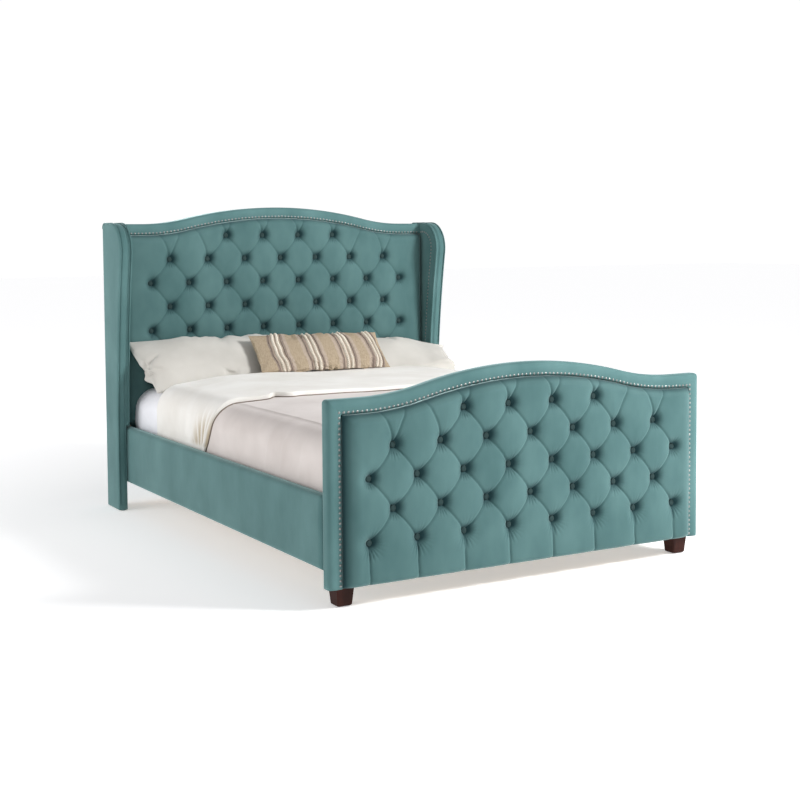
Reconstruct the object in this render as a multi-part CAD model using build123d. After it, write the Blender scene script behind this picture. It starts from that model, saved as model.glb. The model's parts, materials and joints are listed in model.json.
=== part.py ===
from build123d import *
import math
import os

# Upholstered bed with a button-tufted, arched headboard between two side wings, a lower
# arched footboard to match, padded side rails, a slatted base and its bedding.
# Millimetres. +X is the bed's width, +Y points to the head, +Z is up. The origin is on the
# floor, midway across the width and midway along the length.

# ---------------------------------------------------------------- driving dimensions
# mattress and the room left round it
mattress_width = 1524
mattress_length = 2032
mattress_height = 254
mattress_corner = 60
mattress_edge = 25
side_gap = 29.5
foot_gap = 23
head_gap = 3
slat_top = 311
soft_gap = 0.5
sheet_thickness = 1.5

# side rails
rail_bottom = 131
rail_height = 261
rail_board = 27
rail_outer_pad = 14
rail_lining = 4
rail_top_pad = 9
rail_bottom_pad = 4
rail_edge_radius = 8

# headboard, front to back: tufted pad, panel, frame, back cover
head_end_height = 1352
head_arch_rise = 82
arch_shoulder = 129.5
head_inflection = 485
pad_thickness = 48
border_pad = 8
border_width = 52
nail_inset = 45
panel_thickness = 15
head_frame_depth = 60
head_back_cover = 6
head_frame_bar = 60
head_pad_lift = 10

# wings at the sides of the headboard
wing_rail_clearance = 3.5
wing_outer_pad = 7
wing_core = 30
wing_inner_lining = 6
wing_inner_pad = 14
wing_front_pad = 8
wing_foot_depth = 167.5
wing_sweep_start = 250
wing_nose_drop = 152
wing_nose_reach = 85
piping_radius = 3
piping_seat = 0.05

# footboard, front to back: tufted pad, panel, frame, back cover
foot_end_height = 729
foot_arch_rise = 89
foot_inflection = 445
foot_bottom = 71
foot_frame_depth = 20
foot_back_cover = 3
foot_frame_bar = 60
foot_corner_radius = 12

# tufting
tuft_pitch = 196
head_row_step = 114.2
foot_row_step = 112.6
head_first_row = 496.5
foot_first_row = 222.3
tuft_side_margin = 90
tuft_top_margin = 50
button_radius = 12.5
button_thickness = 7
button_depth = 26
pocket_clearance = 3.5
pad_edge_radius = 20
pad_side_clearance = 1

# decorative nails
nail_radius = 5.2
nail_height = 2.8
nail_spacing = 18
nail_first_height = 12

# legs and glides
leg_top_size = 70
leg_foot_size = 57.5
leg_inset = 74.5
leg_front_inset = 62.7
glide_height = 3
glide_radius = 12
wing_glide_spacing = 100
block_height = 62
block_width = 58
block_depth = 32
block_rail_gap = 1.5

# slatted base
ledge_width = 28
ledge_height = 40
ledge_end_gap = 12
slat_thickness = 19
slat_width = 70
slat_pitch = 158
slat_overlap = 22
beam_width = 40
beam_height = 70
hanger_wall = 3
hanger_reach = 50
centre_leg_size = 45
centre_leg_offset = 350
foot_disc_radius = 19
foot_disc_height = 8
foot_stem_radius = 4
foot_stem_length = 36
stem_clearance = 0.08
stem_end_gap = 4

# brackets, bolts and screws
bracket_wall = 3
bracket_wing = 45
bracket_lift = 19
bracket_gap_to_ledge = 10
bolt_radius = 4
bolt_clearance = 0.1
bolt_head_radius = 6.5
bolt_head_height = 5
bolt_length = 24
bolt_pitch = 50
leg_bolt_reach = 30
screw_radius = 2
screw_head_radius = 4
screw_head_height = 2.5
screw_length = 40
screw_clearance = 0.1

# bedding
duvet_top_thickness = 38
duvet_fold_thickness = 22
duvet_head_clear = 269.5
duvet_fold_length = 795
duvet_side = 24
duvet_foot_thickness = 16.5
duvet_drop = 225
duvet_edge_radius = 30
duvet_inner_corner = 50
pillow_end_inset = 26
pillow_split = -40
pillow_split_gap = 4
pillow_height = 236
pillow_front_height = 88
pillow_front_lean = 8
pillow_slope = 126
pillow_slope_drop = 14
pillow_crown = 47
pillow_crown_drop = 4
pillow_back_bevel = 28
pillow_base_bevel = 21
pillow_corner = 9
lumbar_length = 700
lumbar_height = 230
lumbar_thickness = 80
lumbar_offset = 78
lumbar_corner = 36

# ---------------------------------------------------------------- derived places
mattress_half = mattress_width / 2
rail_thickness = rail_outer_pad + rail_board + rail_lining
rail_inner = mattress_half + side_gap
rail_outer = rail_inner + rail_thickness
rail_top = rail_bottom + rail_height
arch_half_width = rail_outer - arch_shoulder
head_pad_bottom = rail_top + head_pad_lift
wing_sweep_rise = head_end_height - wing_nose_drop - wing_sweep_start
wing_inner = rail_outer + wing_rail_clearance
wing_core_inner = wing_inner + wing_inner_lining
wing_core_outer = wing_core_inner + wing_core
wing_outer = wing_core_outer + wing_outer_pad
wing_pad_face = wing_inner - wing_inner_pad

foot_thickness = pad_thickness + panel_thickness + foot_frame_depth + foot_back_cover
head_thickness = pad_thickness + panel_thickness + head_frame_depth + head_back_cover
overall_length = foot_thickness + foot_gap + mattress_length + head_gap + head_thickness

foot_crown = -overall_length / 2
foot_panel_front = foot_crown + pad_thickness
foot_border_front = foot_panel_front - border_pad
foot_frame_front = foot_panel_front + panel_thickness
foot_back_front = foot_frame_front + foot_frame_depth
foot_back = foot_back_front + foot_back_cover
mattress_foot = foot_back + foot_gap
mattress_head = mattress_foot + mattress_length
head_crown = mattress_head + head_gap
head_panel_front = head_crown + pad_thickness
head_border_front = head_panel_front - border_pad
head_frame_front = head_panel_front + panel_thickness
head_back_front = head_frame_front + head_frame_depth
head_back = head_back_front + head_back_cover

slat_bottom = slat_top - slat_thickness
ledge_bottom = slat_bottom - ledge_height
bracket_bottom = rail_bottom + bracket_lift
bracket_top = ledge_bottom - bracket_gap_to_ledge
mattress_bottom = slat_top + soft_gap
mattress_top = mattress_bottom + mattress_height
sheet_top = mattress_top + sheet_thickness
duvet_head_edge = mattress_head - duvet_head_clear
duvet_fold_edge = duvet_head_edge - duvet_fold_length

SIDES = {"left": -1, "right": 1}


# ---------------------------------------------------------------- helpers
def box(x, y, z):
    """A block between two limits on each axis."""
    size = [abs(limit[1] - limit[0]) for limit in (x, y, z)]
    middle = [(limit[0] + limit[1]) / 2 for limit in (x, y, z)]
    return Pos(*middle) * Box(*size)


def side_box(sign, x, y, z):
    """A block on one side of the bed, with x given as distances from the middle."""
    return box((sign * x[0], sign * x[1]), y, z)


def facing_foot(face, front, depth):
    """A face drawn in width and height, thickened backwards from its front plane."""
    plane = Plane(origin=(0, front + depth, 0), x_dir=(1, 0, 0), z_dir=(0, -1, 0))
    return plane * extrude(face, depth)


def across(face, start, end):
    """A face drawn in length and height, thickened between two widths."""
    low = min(start, end)
    plane = Plane(origin=(low, 0, 0), x_dir=(0, 1, 0), z_dir=(1, 0, 0))
    return plane * extrude(face, abs(end - start))


def rod(start, direction, radius, length):
    """A cylinder that starts at a point and runs in a direction."""
    return Plane(origin=start, z_dir=direction) * Cylinder(
        radius, length, align=(Align.CENTER, Align.CENTER, Align.MIN)
    )


def save(name, solids):
    """Writes one sub-part."""
    shape = Compound(children=list(solids)) if isinstance(solids, list) else solids
    shape.label = name
    export_step(shape, f"parts/{name}.step")


# ---------------------------------------------------------------- arched boards
def arch_height(x, end_height, rise, inflection):
    """Height of the arched top edge at a distance from the middle."""
    turn = 2 * math.atan(rise / arch_half_width)
    crown_radius = inflection / math.sin(turn)
    foot_radius = (arch_half_width - inflection) / math.sin(turn)
    x = abs(x)
    if x >= arch_half_width:
        return end_height
    if x > inflection:
        run = arch_half_width - x
        return end_height + foot_radius - math.sqrt(foot_radius**2 - run**2)
    return end_height + rise - crown_radius + math.sqrt(crown_radius**2 - x**2)


def arch_edges(half_width, end_height, rise, inflection):
    """The arched top edge, left to right: flat ends, two hollow arcs and a crown."""
    turn_height = end_height + rise * (1 - inflection / arch_half_width)
    crown = (0, end_height + rise)
    edges = []
    for sign in (-1, 1):
        turn_point = (sign * inflection, turn_height)
        shoulder = (sign * arch_half_width, end_height)
        pieces = [
            Line((sign * half_width, end_height), shoulder),
            TangentArc(shoulder, turn_point, tangent=(-sign, 0)),
            TangentArc(crown, turn_point, tangent=(sign, 0)),
        ]
        edges += pieces if sign < 0 else pieces[::-1]
    return edges


def arched_face(half_width, bottom, end_height, rise, inflection):
    """An upright board outline with a flat bottom and an arched top."""
    corners = Polyline(
        (-half_width, end_height),
        (-half_width, bottom),
        (half_width, bottom),
        (half_width, end_height),
    )
    return make_face([corners] + arch_edges(half_width, end_height, rise, inflection))


def head_face(half_width, bottom, drop=0):
    return arched_face(
        half_width, bottom, head_end_height - drop, head_arch_rise, head_inflection
    )


def foot_face(half_width, bottom, drop=0):
    return arched_face(
        half_width, bottom, foot_end_height - drop, foot_arch_rise, foot_inflection
    )


def head_strip(half_width, upper_drop, lower_drop):
    """The band of the headboard between two depths below its top edge."""
    low = head_end_height - head_arch_rise - lower_drop
    return head_face(half_width, low, upper_drop) - head_face(half_width, low - 1, lower_drop)


def foot_strip(half_width, upper_drop, lower_drop):
    """The band of the footboard between two depths below its top edge."""
    low = foot_end_height - foot_arch_rise - lower_drop
    return foot_face(half_width, low, upper_drop) - foot_face(half_width, low - 1, lower_drop)


# ---------------------------------------------------------------- tufting and nails
def button_places(first_row, row_step, wide_first, pad_half, top_of):
    """Centres of the buttons: rows of a diamond pattern that fit inside the pad."""
    places = []
    rows = math.ceil((top_of(0) - first_row) / row_step)
    for row in range(rows):
        height = first_row + row * row_step
        shifted = (row % 2 == 0) == wide_first
        start = 0.5 if shifted else 0.0
        column = start
        while column * tuft_pitch <= pad_half - tuft_side_margin:
            x = column * tuft_pitch
            if height <= top_of(x) - border_width - tuft_top_margin:
                places += [(x, height)] if x == 0 else [(-x, height), (x, height)]
            column += 1
    return places


def head_top_of(x):
    return arch_height(x, head_end_height, head_arch_rise, head_inflection)


def foot_top_of(x):
    return arch_height(x, foot_end_height, foot_arch_rise, foot_inflection)


def tufted_pad(face, crown, places):
    """A thick pad with rounded front edges and a pocket at each button."""
    pad = facing_foot(face, crown, pad_thickness)
    front_edges = pad.faces().sort_by(Axis.Y)[0].edges()
    pad = fillet(front_edges, pad_edge_radius)
    pocket_floor = button_depth + button_thickness / 2
    pockets = [
        rod((x, crown - 1, z), (0, 1, 0), button_radius + pocket_clearance, pocket_floor + 1)
        for x, z in places
    ]
    return pad - pockets


def dome(radius, height, rim):
    """A domed cap on a short straight rim, lying on the XY plane and rising along +Z."""
    outline = make_face(
        [
            Polyline((0, height), (0, 0), (radius, 0), (radius, rim)),
            TangentArc((0, height), (radius, rim), tangent=(1, 0)),
        ]
    )
    return revolve(Plane.XZ * outline, Axis.Z)


def caps(cap, places, direction):
    """Copies of a cap, each seated at a point and facing a direction."""
    return [Plane(origin=place, z_dir=direction) * cap for place in places]


def evenly(edges, spacing):
    """Points at an even spacing along a run of joined edges, both ends included."""
    run = Wire(edges)
    count = round(run.length / spacing)
    return [run @ (index / count) for index in range(count + 1)]


# ---------------------------------------------------------------- wings
def wing_front_edges(inset):
    """Front and top of a wing from the floor to the back: straight, sweep, nose, top."""
    foot = head_back - wing_foot_depth
    turn = 2 * math.atan(wing_nose_reach / wing_sweep_rise)
    sweep_radius = wing_sweep_rise / math.sin(turn)
    nose_start = (foot - wing_nose_reach, wing_sweep_start + wing_sweep_rise)
    nose_radius = (head_end_height - nose_start[1]) / (1 + math.sin(turn))
    nose_centre = (
        nose_start[0] + nose_radius * math.cos(turn),
        nose_start[1] + nose_radius * math.sin(turn),
    )

    def sweep_point(angle):
        radius = sweep_radius + inset
        return (
            foot - sweep_radius + radius * math.cos(angle),
            wing_sweep_start + radius * math.sin(angle),
        )

    def nose_point(angle):
        radius = nose_radius - inset
        return (
            nose_centre[0] + radius * math.cos(angle),
            nose_centre[1] + radius * math.sin(angle),
        )

    nose_from = math.pi + turn
    nose_to = math.pi / 2
    return [
        Line((foot + inset, glide_height), sweep_point(0)),
        ThreePointArc(sweep_point(0), sweep_point(turn / 2), sweep_point(turn)),
        ThreePointArc(
            nose_point(nose_from), nose_point((nose_from + nose_to) / 2), nose_point(nose_to)
        ),
        Line(nose_point(nose_to), (head_back, head_end_height - inset)),
    ]


def wing_face(inset):
    """The side view of a wing, set in from its front and top by an inset."""
    edges = wing_front_edges(inset)
    start = edges[0] @ 0
    end = edges[-1] @ 1
    closing = Polyline((end.X, end.Y), (head_back, glide_height), (start.X, start.Y))
    return make_face(edges + [closing])


def wing_core_part(sign):
    return across(wing_face(wing_front_pad), sign * wing_core_inner, sign * wing_core_outer)


def wing_outer_cover(sign):
    return across(wing_face(0), sign * wing_core_outer, sign * wing_outer)


def wing_front_band(sign):
    band = wing_face(0) - wing_face(wing_front_pad)
    return across(band, sign * wing_core_inner, sign * wing_core_outer)


def wing_lining(sign):
    """A thin lining beside the rail that thickens to a pad above it."""
    lining = across(wing_face(0), sign * wing_core_inner, sign * wing_inner)
    pad = across(wing_face(0), sign * wing_inner, sign * wing_pad_face)
    room = side_box(
        sign,
        (wing_pad_face, wing_inner),
        (foot_crown, head_panel_front),
        (head_pad_bottom, head_end_height + 1),
    )
    return lining + (pad & room)


def wing_piping(sign):
    """Two piping cords, on the outer and the inner edge of a wing's front."""
    edges = wing_front_edges(-piping_radius - piping_seat)
    cords = []
    for x, low in (
        (wing_outer - piping_radius, glide_height),
        (wing_pad_face + piping_radius, head_pad_bottom),
    ):
        start = edges[0] @ 0
        straight = Line((start.X, low), edges[1] @ 0) if low < wing_sweep_start else None
        run = ([straight] if straight else []) + edges[1:]
        plane = Plane(origin=(sign * x, 0, 0), x_dir=(0, 1, 0), z_dir=(1, 0, 0))
        path = plane * Wire(run)
        cord = sweep(Plane(origin=path @ 0, z_dir=path % 0) * Circle(piping_radius), path)
        if low > wing_sweep_start:
            cord = cord & box(
                (sign * (x - 2 * piping_radius), sign * (x + 2 * piping_radius)),
                (-overall_length, overall_length),
                (low, 2 * head_end_height),
            )
        cords.append(cord.solids()[0])
    return cords


def wing_glide_places(sign):
    middle = sign * (wing_core_inner + wing_core_outer) / 2
    foot = head_back - wing_foot_depth / 2
    return [(middle, foot + shift * wing_glide_spacing / 2, 0) for shift in (-1, 1)]


# ---------------------------------------------------------------- headboard
def headboard_posts(sign):
    return side_box(
        sign,
        (wing_inner - head_frame_bar, wing_inner),
        (head_frame_front, head_back_front),
        (rail_bottom, head_end_height - border_pad - head_frame_bar),
    )


def headboard_top_rail():
    strip = head_strip(wing_inner, border_pad, border_pad + head_frame_bar)
    return facing_foot(strip, head_frame_front, head_frame_depth)


def headboard_bottom_rail():
    inner = wing_inner - head_frame_bar
    return box(
        (-inner, inner),
        (head_frame_front, head_back_front),
        (rail_bottom, rail_bottom + 2 * head_frame_bar),
    )


def headboard_top_border():
    """A padded band on the front that wraps back over the top edge."""
    front = facing_foot(head_strip(wing_pad_face, 0, border_width), head_border_front, border_pad)
    over = facing_foot(
        head_strip(wing_inner, 0, border_pad), head_panel_front, head_back - head_panel_front
    )
    return front + over


# ---------------------------------------------------------------- footboard
def footboard_top_border():
    front = facing_foot(foot_strip(rail_outer, 0, border_width), foot_border_front, border_pad)
    over = facing_foot(
        foot_strip(rail_outer, 0, border_pad), foot_panel_front, foot_back - foot_panel_front
    )
    top = front + over
    corners = [
        edge
        for edge in top.edges().filter_by(Axis.Y)
        if abs(edge.center().X) > rail_outer - 1
        and edge.center().Z > foot_end_height - 1
    ]
    return fillet(corners, foot_corner_radius / 2)


def footboard_side_border(sign):
    """A padded band on the front that wraps back round the footboard's end."""
    top = foot_end_height - border_width
    front = side_box(
        sign,
        (rail_outer - border_width, rail_outer),
        (foot_border_front, foot_panel_front),
        (foot_bottom, top),
    )
    end = side_box(
        sign,
        (rail_outer - border_pad, rail_outer),
        (foot_panel_front, foot_back),
        (foot_bottom, foot_end_height - border_pad),
    )
    end -= side_box(
        sign,
        (rail_outer - border_pad, rail_outer),
        (foot_panel_front, foot_back),
        (top, foot_end_height),
    )
    return front + end


def footboard_stile(sign):
    outer = rail_outer - border_pad
    return side_box(
        sign,
        (outer - foot_frame_bar, outer),
        (foot_frame_front, foot_back_front),
        (foot_bottom + foot_frame_bar, foot_end_height - border_pad - foot_frame_bar),
    )


# ---------------------------------------------------------------- legs
def leg_centre(sign):
    return (sign * (rail_outer - leg_inset), foot_crown + leg_front_inset + leg_foot_size / 2)


def front_leg(sign):
    """A square leg that tapers down to its glide."""
    x, y = leg_centre(sign)
    foot = Pos(x, y, glide_height) * Rectangle(leg_foot_size, leg_foot_size)
    top = Pos(x, y, foot_bottom) * Rectangle(leg_top_size, leg_top_size)
    return loft([foot.face(), top.face()])


def leg_block(sign):
    """A corner block behind the footboard that takes the leg's bolt."""
    outer = rail_inner - block_rail_gap
    return side_box(
        sign,
        (outer - block_width, outer),
        (foot_back, foot_back + block_depth),
        (foot_bottom, foot_bottom + block_height),
    )


def leg_bolt_place(sign):
    x, _ = leg_centre(sign)
    return (x, foot_back + block_depth / 3, foot_bottom)


# ---------------------------------------------------------------- side rails
def rail_board_part(sign):
    return side_box(
        sign,
        (rail_inner + rail_lining, rail_outer - rail_outer_pad),
        (foot_back, head_panel_front),
        (rail_bottom + rail_bottom_pad, rail_top - rail_top_pad),
    )


def rail_cover(sign):
    """Padding and cloth all round the rail's board."""
    cover = side_box(
        sign, (rail_inner, rail_outer), (foot_back, head_panel_front), (rail_bottom, rail_top)
    )
    cover = fillet(cover.edges().filter_by(Axis.Y), rail_edge_radius)
    board = side_box(
        sign,
        (rail_inner + rail_lining, rail_outer - rail_outer_pad),
        (foot_back - 1, head_panel_front + 1),
        (rail_bottom + rail_bottom_pad, rail_top - rail_top_pad),
    )
    return cover - board


def slat_ledge(sign):
    return side_box(
        sign,
        (rail_inner - ledge_width, rail_inner),
        (foot_back + ledge_end_gap, head_panel_front - ledge_end_gap),
        (ledge_bottom, slat_bottom),
    )


def rail_ends():
    """Each rail end as its side and the direction from the end board into the bed."""
    ends = []
    for sign in SIDES.values():
        ends.append((sign, foot_back, 1))
        ends.append((sign, head_panel_front, -1))
    return ends


def rail_bracket(sign, board, inward):
    """An angle bracket in the corner between a rail and an end board."""
    heights = (bracket_bottom, bracket_top)
    on_rail = side_box(
        sign,
        (rail_inner - bracket_wall, rail_inner),
        (board, board + inward * bracket_wing),
        heights,
    )
    on_board = side_box(
        sign,
        (rail_inner - bracket_wing, rail_inner),
        (board, board + inward * bracket_wall),
        heights,
    )
    return on_rail + on_board


def bracket_bolts():
    """Seat and direction of each bracket bolt, from the head's underside inwards."""
    seats = []
    middle = (bracket_bottom + bracket_top) / 2
    for sign, board, inward in rail_ends():
        for shift in (-0.5, 0.5):
            z = middle + shift * bolt_pitch
            along = board + inward * (bracket_wing + bracket_wall) / 2
            beside = sign * (rail_inner - (bracket_wing + bracket_wall) / 2)
            seats.append(((sign * (rail_inner - bracket_wall), along, z), (sign, 0, 0)))
            seats.append(((beside, board + inward * bracket_wall, z), (0, -inward, 0)))
    return seats


def bracket_bolt(seat, direction):
    shank = rod(seat, direction, bolt_radius, bolt_length)
    back = tuple(-value for value in direction)
    return shank + rod(seat, back, bolt_head_radius, bolt_head_height)


def bolt_holes():
    return [
        rod(seat, direction, bolt_radius + bolt_clearance, bolt_length + bolt_clearance)
        for seat, direction in bracket_bolts()
    ]


# ---------------------------------------------------------------- slatted base
def slat_places():
    """Centre lines of the slats along the bed."""
    room = mattress_length - slat_width
    count = round(room / slat_pitch) + 1
    first = mattress_foot + slat_width / 2
    return [first + index * room / (count - 1) for index in range(count)]


def slat(y):
    half = rail_inner - ledge_width + slat_overlap
    return box((-half, half), (y - slat_width / 2, y + slat_width / 2), (slat_bottom, slat_top))


def screw_places(y):
    """The two screws of the slat at one place along the bed."""
    x = rail_inner - ledge_width + slat_overlap / 2
    return [(sign * x, y) for sign in SIDES.values()]


def all_screw_places():
    return [place for y in slat_places() for place in screw_places(y)]


def slat_screw(x, y):
    head_top = slat_top - screw_clearance
    head = rod((x, y, head_top), (0, 0, -1), screw_head_radius, screw_head_height)
    return head + rod((x, y, head_top), (0, 0, -1), screw_radius, screw_length)


def screw_hole(x, y):
    radius = screw_head_radius + screw_clearance
    start = (x, y, slat_top + 1)
    bore = rod(start, (0, 0, -1), screw_radius + screw_clearance / 2, screw_length + 2)
    return bore + rod(start, (0, 0, -1), radius, screw_head_height + 1 + screw_clearance)


def centre_beam():
    return box(
        (-beam_width / 2, beam_width / 2),
        (foot_back + hanger_wall, head_panel_front - hanger_wall),
        (slat_bottom - beam_height, slat_bottom),
    )


def beam_hanger(board, inward):
    """A steel pocket on an end board that carries one end of the beam."""
    half = beam_width / 2 + hanger_wall
    floor = slat_bottom - beam_height - hanger_wall
    pocket = box((-half, half), (board, board + inward * hanger_reach), (floor, slat_bottom))
    room = box(
        (-beam_width / 2, beam_width / 2),
        (board + inward * hanger_wall, board + inward * 2 * hanger_reach),
        (floor + hanger_wall, slat_top),
    )
    return pocket - room


def centre_leg(y):
    half = centre_leg_size / 2
    leg = box((-half, half), (y - half, y + half), (foot_disc_height, slat_bottom - beam_height))
    bore = rod(
        (0, y, foot_disc_height - 1),
        (0, 0, 1),
        foot_stem_radius + stem_clearance,
        foot_stem_length + stem_end_gap + 1,
    )
    return leg - bore


def levelling_foot(y):
    disc = rod((0, y, 0), (0, 0, 1), foot_disc_radius, foot_disc_height)
    return disc + rod((0, y, 0), (0, 0, 1), foot_stem_radius, foot_disc_height + foot_stem_length)


# ---------------------------------------------------------------- bedding
def mattress_block(grow):
    """The mattress, or the mattress grown outwards and upwards by a skin."""
    half = mattress_half + grow
    block = box(
        (-half, half),
        (mattress_foot - grow, mattress_head + grow),
        (mattress_bottom, mattress_top + grow),
    )
    block = fillet(block.edges().filter_by(Axis.Z), mattress_corner + grow)
    top_edges = block.faces().sort_by(Axis.Z)[-1].edges()
    return fillet(top_edges, mattress_edge + grow)


def fitted_sheet():
    return mattress_block(sheet_thickness) - mattress_block(0)


def duvet():
    """A quilt over the mattress: sides and foot tucked down, head end folded double."""
    skin = sheet_thickness + soft_gap
    outer = mattress_half + skin + duvet_side
    foot = mattress_foot - skin - duvet_foot_thickness
    top = sheet_top + soft_gap + duvet_top_thickness
    bottom = mattress_top - duvet_drop
    body = box((-outer, outer), (foot, duvet_head_edge), (bottom, top))
    body = fillet(body.faces().sort_by(Axis.Z)[-1].edges(), duvet_edge_radius)
    fold = box(
        (-outer + duvet_edge_radius, outer - duvet_edge_radius),
        (duvet_fold_edge, duvet_head_edge),
        (top - duvet_edge_radius, top + duvet_fold_thickness),
    )
    fold = fillet(fold.faces().sort_by(Axis.Z)[-1].edges(), duvet_fold_thickness - 2)
    inner = mattress_half + skin
    room = box(
        (-inner, inner),
        (mattress_foot - skin, duvet_head_edge + duvet_inner_corner * 3),
        (bottom - 1, sheet_top + soft_gap),
    )
    room = fillet(room.edges().filter_by(Axis.Z), duvet_inner_corner)
    return body + fold - room


def pillow_front():
    """Where the lower front edge of a pillow stands, just behind the duvet's head end."""
    return duvet_head_edge + 2 * soft_gap


def pillow_slope_start():
    """The point on a pillow's side view where its front turns back at 45 degrees."""
    return (pillow_front() + pillow_front_lean, sheet_top + soft_gap + pillow_front_height)


def pillow_profile():
    """Side view of a plump pillow that lies on the mattress and leans on the headboard."""
    back = head_crown - soft_gap
    base = sheet_top + soft_gap
    top = base + pillow_height
    outline = Polyline(
        (pillow_front(), base),
        (back - pillow_base_bevel, base),
        (back, base + pillow_base_bevel),
        (back, top - pillow_back_bevel),
        (back - pillow_back_bevel, top - pillow_crown_drop),
        (back - pillow_back_bevel - pillow_crown, top),
        (back - pillow_slope, top - pillow_slope_drop),
        pillow_slope_start(),
        close=True,
    )
    face = make_face(outline)
    return fillet(face.vertices(), pillow_corner)


def pillow(low, high):
    return across(pillow_profile(), low, high)


def lumbar_pillow():
    """A slim oblong cushion on the duvet's fold, leaning on the pillows at 45 degrees."""
    lean = math.sqrt(0.5)
    fold_top = sheet_top + soft_gap + duvet_top_thickness + duvet_fold_thickness
    half_height = lumbar_height / 2 - lumbar_corner
    half_thick = lumbar_thickness / 2 - lumbar_corner
    reach = (half_height + half_thick) * lean + lumbar_corner
    centre_z = fold_top + soft_gap + reach
    clear = lumbar_thickness / 2 + 2 * soft_gap
    slope_y, slope_z = pillow_slope_start()
    along = (centre_z - slope_z) / lean - clear
    centre_y = slope_y + (along - clear) * lean
    profile = Pos(centre_y, centre_z) * Rot(0, 0, 45) * RectangleRounded(
        lumbar_height, lumbar_thickness, lumbar_corner
    )
    low = lumbar_offset - lumbar_length / 2
    return across(profile, low, low + lumbar_length)


# ---------------------------------------------------------------- build and write
def build_headboard(holes):
    half = wing_pad_face - soft_gap
    places = button_places(
        head_first_row, head_row_step, False, half, head_top_of
    )
    board = head_face(wing_inner, rail_bottom, border_pad)
    save("headboard_panel", facing_foot(board, head_panel_front, panel_thickness) - holes)
    for side, sign in SIDES.items():
        save(f"headboard_post_{side}", headboard_posts(sign) - holes)
    save("headboard_top_rail", headboard_top_rail())
    save("headboard_bottom_rail", headboard_bottom_rail() - holes)
    save("headboard_back_cover", facing_foot(board, head_back_front, head_back_cover))
    pad = head_face(half, head_pad_bottom, border_width + pad_side_clearance)
    save("headboard_tufted_pad", tufted_pad(pad, head_crown, places))
    save("headboard_top_border", headboard_top_border())
    seat = head_crown + button_depth + button_thickness / 2
    button = dome(button_radius, button_thickness, 2)
    save("headboard_buttons", caps(button, [(x, seat, z) for x, z in places], (0, -1, 0)))
    save("headboard_nails", headboard_nails())


def headboard_nails():
    """Nails along the top band and round the inner face of each wing."""
    cap = dome(nail_radius, nail_height, 0.6)
    half = wing_pad_face - nail_spacing
    line = evenly(
        arch_edges(half, head_end_height - nail_inset, head_arch_rise, head_inflection),
        nail_spacing,
    )
    nails = caps(cap, [(p.X, head_border_front, p.Y) for p in line], (0, -1, 0))
    edges = wing_front_edges(nail_inset)
    start = edges[1] @ 0
    end = edges[2] @ 1
    last = (head_border_front - nail_spacing, end.Y)
    run = evenly(edges[1:3] + [Line((end.X, end.Y), last)], nail_spacing)
    run = [p for p in run if p.Y > head_pad_bottom + nail_first_height]
    for sign in SIDES.values():
        seats = [(sign * wing_pad_face, p.X, p.Y) for p in run]
        nails += caps(cap, seats, (-sign, 0, 0))
    return nails


def build_wings():
    cap_seats = []
    for side, sign in SIDES.items():
        save(f"wing_core_{side}", wing_core_part(sign))
        save(f"wing_outer_cover_{side}", wing_outer_cover(sign))
        save(f"wing_lining_{side}", wing_lining(sign))
        save(f"wing_front_band_{side}", wing_front_band(sign))
        save(f"wing_piping_{side}", wing_piping(sign))
        cap_seats += wing_glide_places(sign)
    glides = [rod(seat, (0, 0, 1), glide_radius, glide_height) for seat in cap_seats]
    save("wing_glides", glides)


def footboard_nails():
    """Nails up one side, along the arched band and down the other side."""
    cap = dome(nail_radius, nail_height, 0.6)
    half = rail_outer - nail_inset
    top = foot_end_height - nail_inset
    low = foot_bottom + nail_first_height
    places = evenly(arch_edges(half, top, foot_arch_rise, foot_inflection), nail_spacing)
    for sign in SIDES.values():
        places += evenly([Line((sign * half, low), (sign * half, top))], nail_spacing)[:-1]
    return caps(cap, [(p.X, foot_border_front, p.Y) for p in places], (0, -1, 0))


def build_footboard(holes):
    half = rail_outer - border_width - pad_side_clearance
    board_half = rail_outer - border_pad
    places = button_places(foot_first_row, foot_row_step, True, half, foot_top_of)
    board = foot_face(board_half, foot_bottom, border_pad)
    save("footboard_panel", facing_foot(board, foot_panel_front, panel_thickness) - holes)
    rail = foot_strip(board_half, border_pad, border_pad + foot_frame_bar)
    save("footboard_top_rail", facing_foot(rail, foot_frame_front, foot_frame_depth))
    bottom = box(
        (-board_half, board_half),
        (foot_frame_front, foot_back_front),
        (foot_bottom, foot_bottom + foot_frame_bar),
    )
    save("footboard_bottom_rail", bottom - holes)
    for side, sign in SIDES.items():
        save(f"footboard_stile_{side}", footboard_stile(sign) - holes)
        save(f"footboard_border_{side}", footboard_side_border(sign))
    save("footboard_back_cover", facing_foot(board, foot_back_front, foot_back_cover) - holes)
    pad = foot_face(half, foot_bottom, border_width + pad_side_clearance)
    save("footboard_tufted_pad", tufted_pad(pad, foot_crown, places))
    save("footboard_top_border", footboard_top_border())
    seat = foot_crown + button_depth + button_thickness / 2
    button = dome(button_radius, button_thickness, 2)
    save("footboard_buttons", caps(button, [(x, seat, z) for x, z in places], (0, -1, 0)))
    save("footboard_nails", footboard_nails())


def build_legs():
    reach = leg_bolt_reach
    bore = bolt_radius + bolt_clearance
    for side, sign in SIDES.items():
        x, y, z = leg_bolt_place(sign)
        hole = rod((x, y, z - reach - 1), (0, 0, 1), bore, 2 * reach + 2)
        save(f"front_leg_{side}", front_leg(sign) - hole)
    blocks = []
    for sign in SIDES.values():
        x, y, z = leg_bolt_place(sign)
        hole = rod((x, y, z - reach - 1), (0, 0, 1), bore, 2 * reach + 2)
        blocks.append(leg_block(sign) - hole)
    save("leg_blocks", blocks)
    centres = [leg_centre(sign) for sign in SIDES.values()]
    save("leg_glides", [rod((x, y, 0), (0, 0, 1), glide_radius, glide_height) for x, y in centres])


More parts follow.
